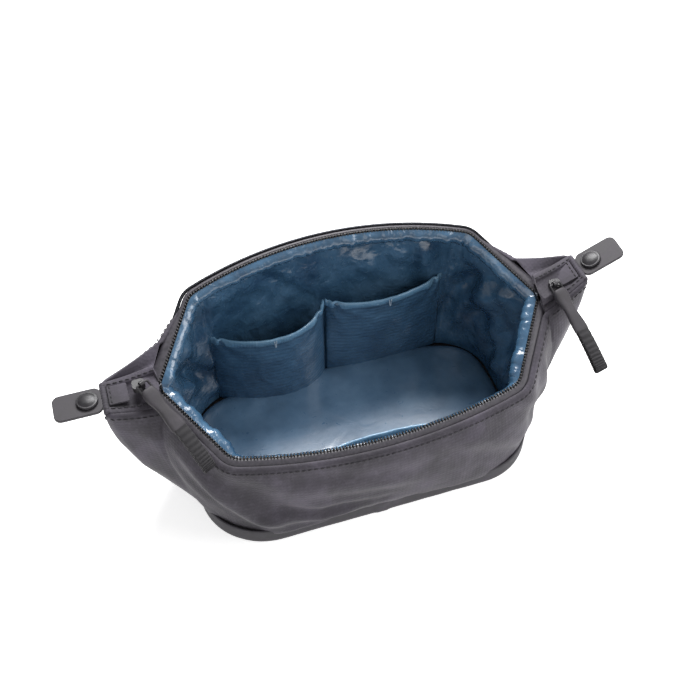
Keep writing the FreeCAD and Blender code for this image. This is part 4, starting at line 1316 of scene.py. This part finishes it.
def grip(sign):
    hand = HANDS[sign]
    lug, down, across, up = pull_axes(sign)
    rings = []
    for along, wide, thick in GRIP:
        ring = []
        for c in range(24):
            a = 2 * math.pi * c / 24
            x, y = math.cos(a), math.sin(a)
            x = math.copysign(abs(x) ** 0.55, x)
            y = math.copysign(abs(y) ** 0.75, y)
            ring.append(lug + down * along + across * (x * wide) + up * (y * thick))
        rings.append(ring)
    verts, faces = loft(rings, capped=True)
    piece = new_piece(hand + "_rubber_grip", verts, faces, [rubber])
    rounder = piece.modifiers.new("smooth moulding", "SUBSURF")
    rounder.levels = rounder.render_levels = 2
    fasten(piece, "moulded_rubber", hand + "_pull_body", hand + "_pull_sleeve")


def ribbed_webbing():
    """Polyester webbing with cross ribs: black, dull, fuzzy at the edges."""
    web = new_material("ribbed webbing")
    flat = add(web, "TexCoord").outputs["UV"]
    yarn = add(web, "TexNoise", {"Vector": flat, "Scale": 1 / (0.7 * MM), "Detail": 3})
    colour = add(web, "ValToRGB", {"Fac": yarn.outputs["Fac"]},
                 stops=[(0.35, "#19181b"), (0.7, "#2d2b2f")]).outputs["Color"]
    bump = add(web, "Bump", {"Height": yarn.outputs["Fac"], "Distance": 0.2 * MM})
    shader = add(web, "BsdfPrincipled", {
        "Base Color": colour, "Roughness": 0.8, "Normal": bump.outputs["Normal"],
        "Sheen Weight": 0.2, "Sheen Roughness": 0.4})
    add(web, "OutputMaterial", {"Surface": shader.outputs["BSDF"]})
    return web


webbing = ribbed_webbing()
# the strip's section: millimetres across, and a share of its thickness. A rib comes each RIB_STEPS steps.
WEB_SECTION = [(LOOP_HALF, 0.5), (LOOP_HALF - 0.6, 1), (0.6 - LOOP_HALF, 1), (-LOOP_HALF, 0.5),
               (-LOOP_HALF, -0.5), (0.6 - LOOP_HALF, -1), (LOOP_HALF - 0.6, -1), (LOOP_HALF, -0.5)]
RIB_STEPS = 6.5


def webbing_loop(sign):
    """The folded strip: out along the bottom, round the fold, back along the top, ribbed all the way."""
    hand = HANDS[sign]
    lug, down, across, up = pull_axes(sign)
    spread, sag = (2.1, 5) if sign > 0 else (1.3, 9)
    length, steps = LOOP_END - LOOP_START, 190
    line = []
    for i in range(steps + 1):
        # -1 where the strip leaves the grip, 0 at the fold, 1 back at the grip
        turn = 2 * i / steps - 1
        out = (length - 0.9) * (1 - abs(turn) ** 2.4)
        opening = min(1.0, abs(turn) * 4.5) ** 0.6 * (0.45 + 0.55 * (1 - abs(turn)) ** 0.4)
        at = lug + down * (LOOP_START + out) + up * math.copysign(spread * opening, turn)
        line.append(at - Vector((0, 0, sag * (out / length) ** 1.5)))
    rings = []
    for i, at in enumerate(line):
        ahead = line[min(i + 1, steps)] - line[max(i - 1, 0)]
        normal = ahead.cross(across).normalized()
        thick = 0.62 + 0.34 * math.sin(i * 2 * math.pi / RIB_STEPS)
        rings.append([at + across * a + normal * (thick * b) for a, b in WEB_SECTION])
    verts, faces = loft(rings, capped=True)
    piece = new_piece(hand + "_webbing_strip", verts, faces, [webbing])
    fasten(piece, "webbing", hand + "_pull_body", hand + "_pull_webbing")


for sign in HANDS:
    slider(sign)
    grip(sign)
    webbing_loop(sign)


# Camera and light.
# A pale sweep under soft boxes, seen from above the bag's front left.

SEEN_FROM = (-18, 49)
SEEN_AT = Vector((7.2, 36.7, 60))
SEEN_DISTANCE = 750
LENS = 49.3


def camera():
    turn, rise = math.radians(SEEN_FROM[0]), math.radians(SEEN_FROM[1])
    back = Vector((math.sin(turn) * math.cos(rise), -math.cos(turn) * math.cos(rise), math.sin(rise)))
    lens = bpy.data.cameras.new("camera")
    lens.lens = LENS
    lens.sensor_width = 36
    lens.clip_start = 0.01
    made = bpy.data.objects.new("camera", lens)
    made.location = (SEEN_AT + back * SEEN_DISTANCE) * MM
    made.rotation_euler = back.to_track_quat("Z", "Y").to_euler()
    bpy.context.scene.collection.objects.link(made)
    bpy.context.scene.camera = made


def softbox(name, place, power, width, depth):
    light = bpy.data.lights.new(name, "AREA")
    light.energy, light.shape = power, "RECTANGLE"
    light.size, light.size_y = width, depth
    made = bpy.data.objects.new(name, light)
    made.location = place
    aim = Vector(place) - Vector((0, 0, 0.08))
    made.rotation_euler = aim.to_track_quat("Z", "Y").to_euler()
    bpy.context.scene.collection.objects.link(made)


def pale_floor():
    paper = new_material("studio paper")
    place = add(paper, "TexCoord").outputs["Object"]
    tooth = add(paper, "TexNoise", {"Vector": place, "Scale": 1 / (2 * MM), "Detail": 2})
    colour = add(paper, "ValToRGB", {"Fac": tooth.outputs["Fac"]},
                 stops=[(0.3, "#f7f7f7"), (0.7, "#fbfbfb")]).outputs["Color"]
    shader = add(paper, "BsdfPrincipled", {"Base Color": colour, "Roughness": 0.95,
                                            "Emission Color": (1, 1, 1, 1), "Emission Strength": 0.6})
    add(paper, "OutputMaterial", {"Surface": shader.outputs["BSDF"]})
    half = 9000
    sweep = new_piece("studio_floor", [(-half, -half, -0.3), (half, -half, -0.3), (half, half, -0.3),
                                       (-half, half, -0.3)], [(0, 1, 2, 3)], [paper])


camera()
pale_floor()
softbox("key", (0.2, 0.66, 1.05), 24, 0.8, 0.55)
softbox("fill", (1.0, -0.4, 0.95), 9, 0.8, 0.8)
softbox("front", (-0.5, -1.0, 1.0), 3, 1.0, 0.8)
world = bpy.data.worlds.new("studio")
world.use_nodes = True
world.node_tree.nodes["Background"].inputs["Color"].default_value = (1, 1, 1, 1)
world.node_tree.nodes["Background"].inputs["Strength"].default_value = 0.34
bpy.context.scene.world = world
bpy.context.scene.view_settings.view_transform = "Standard"
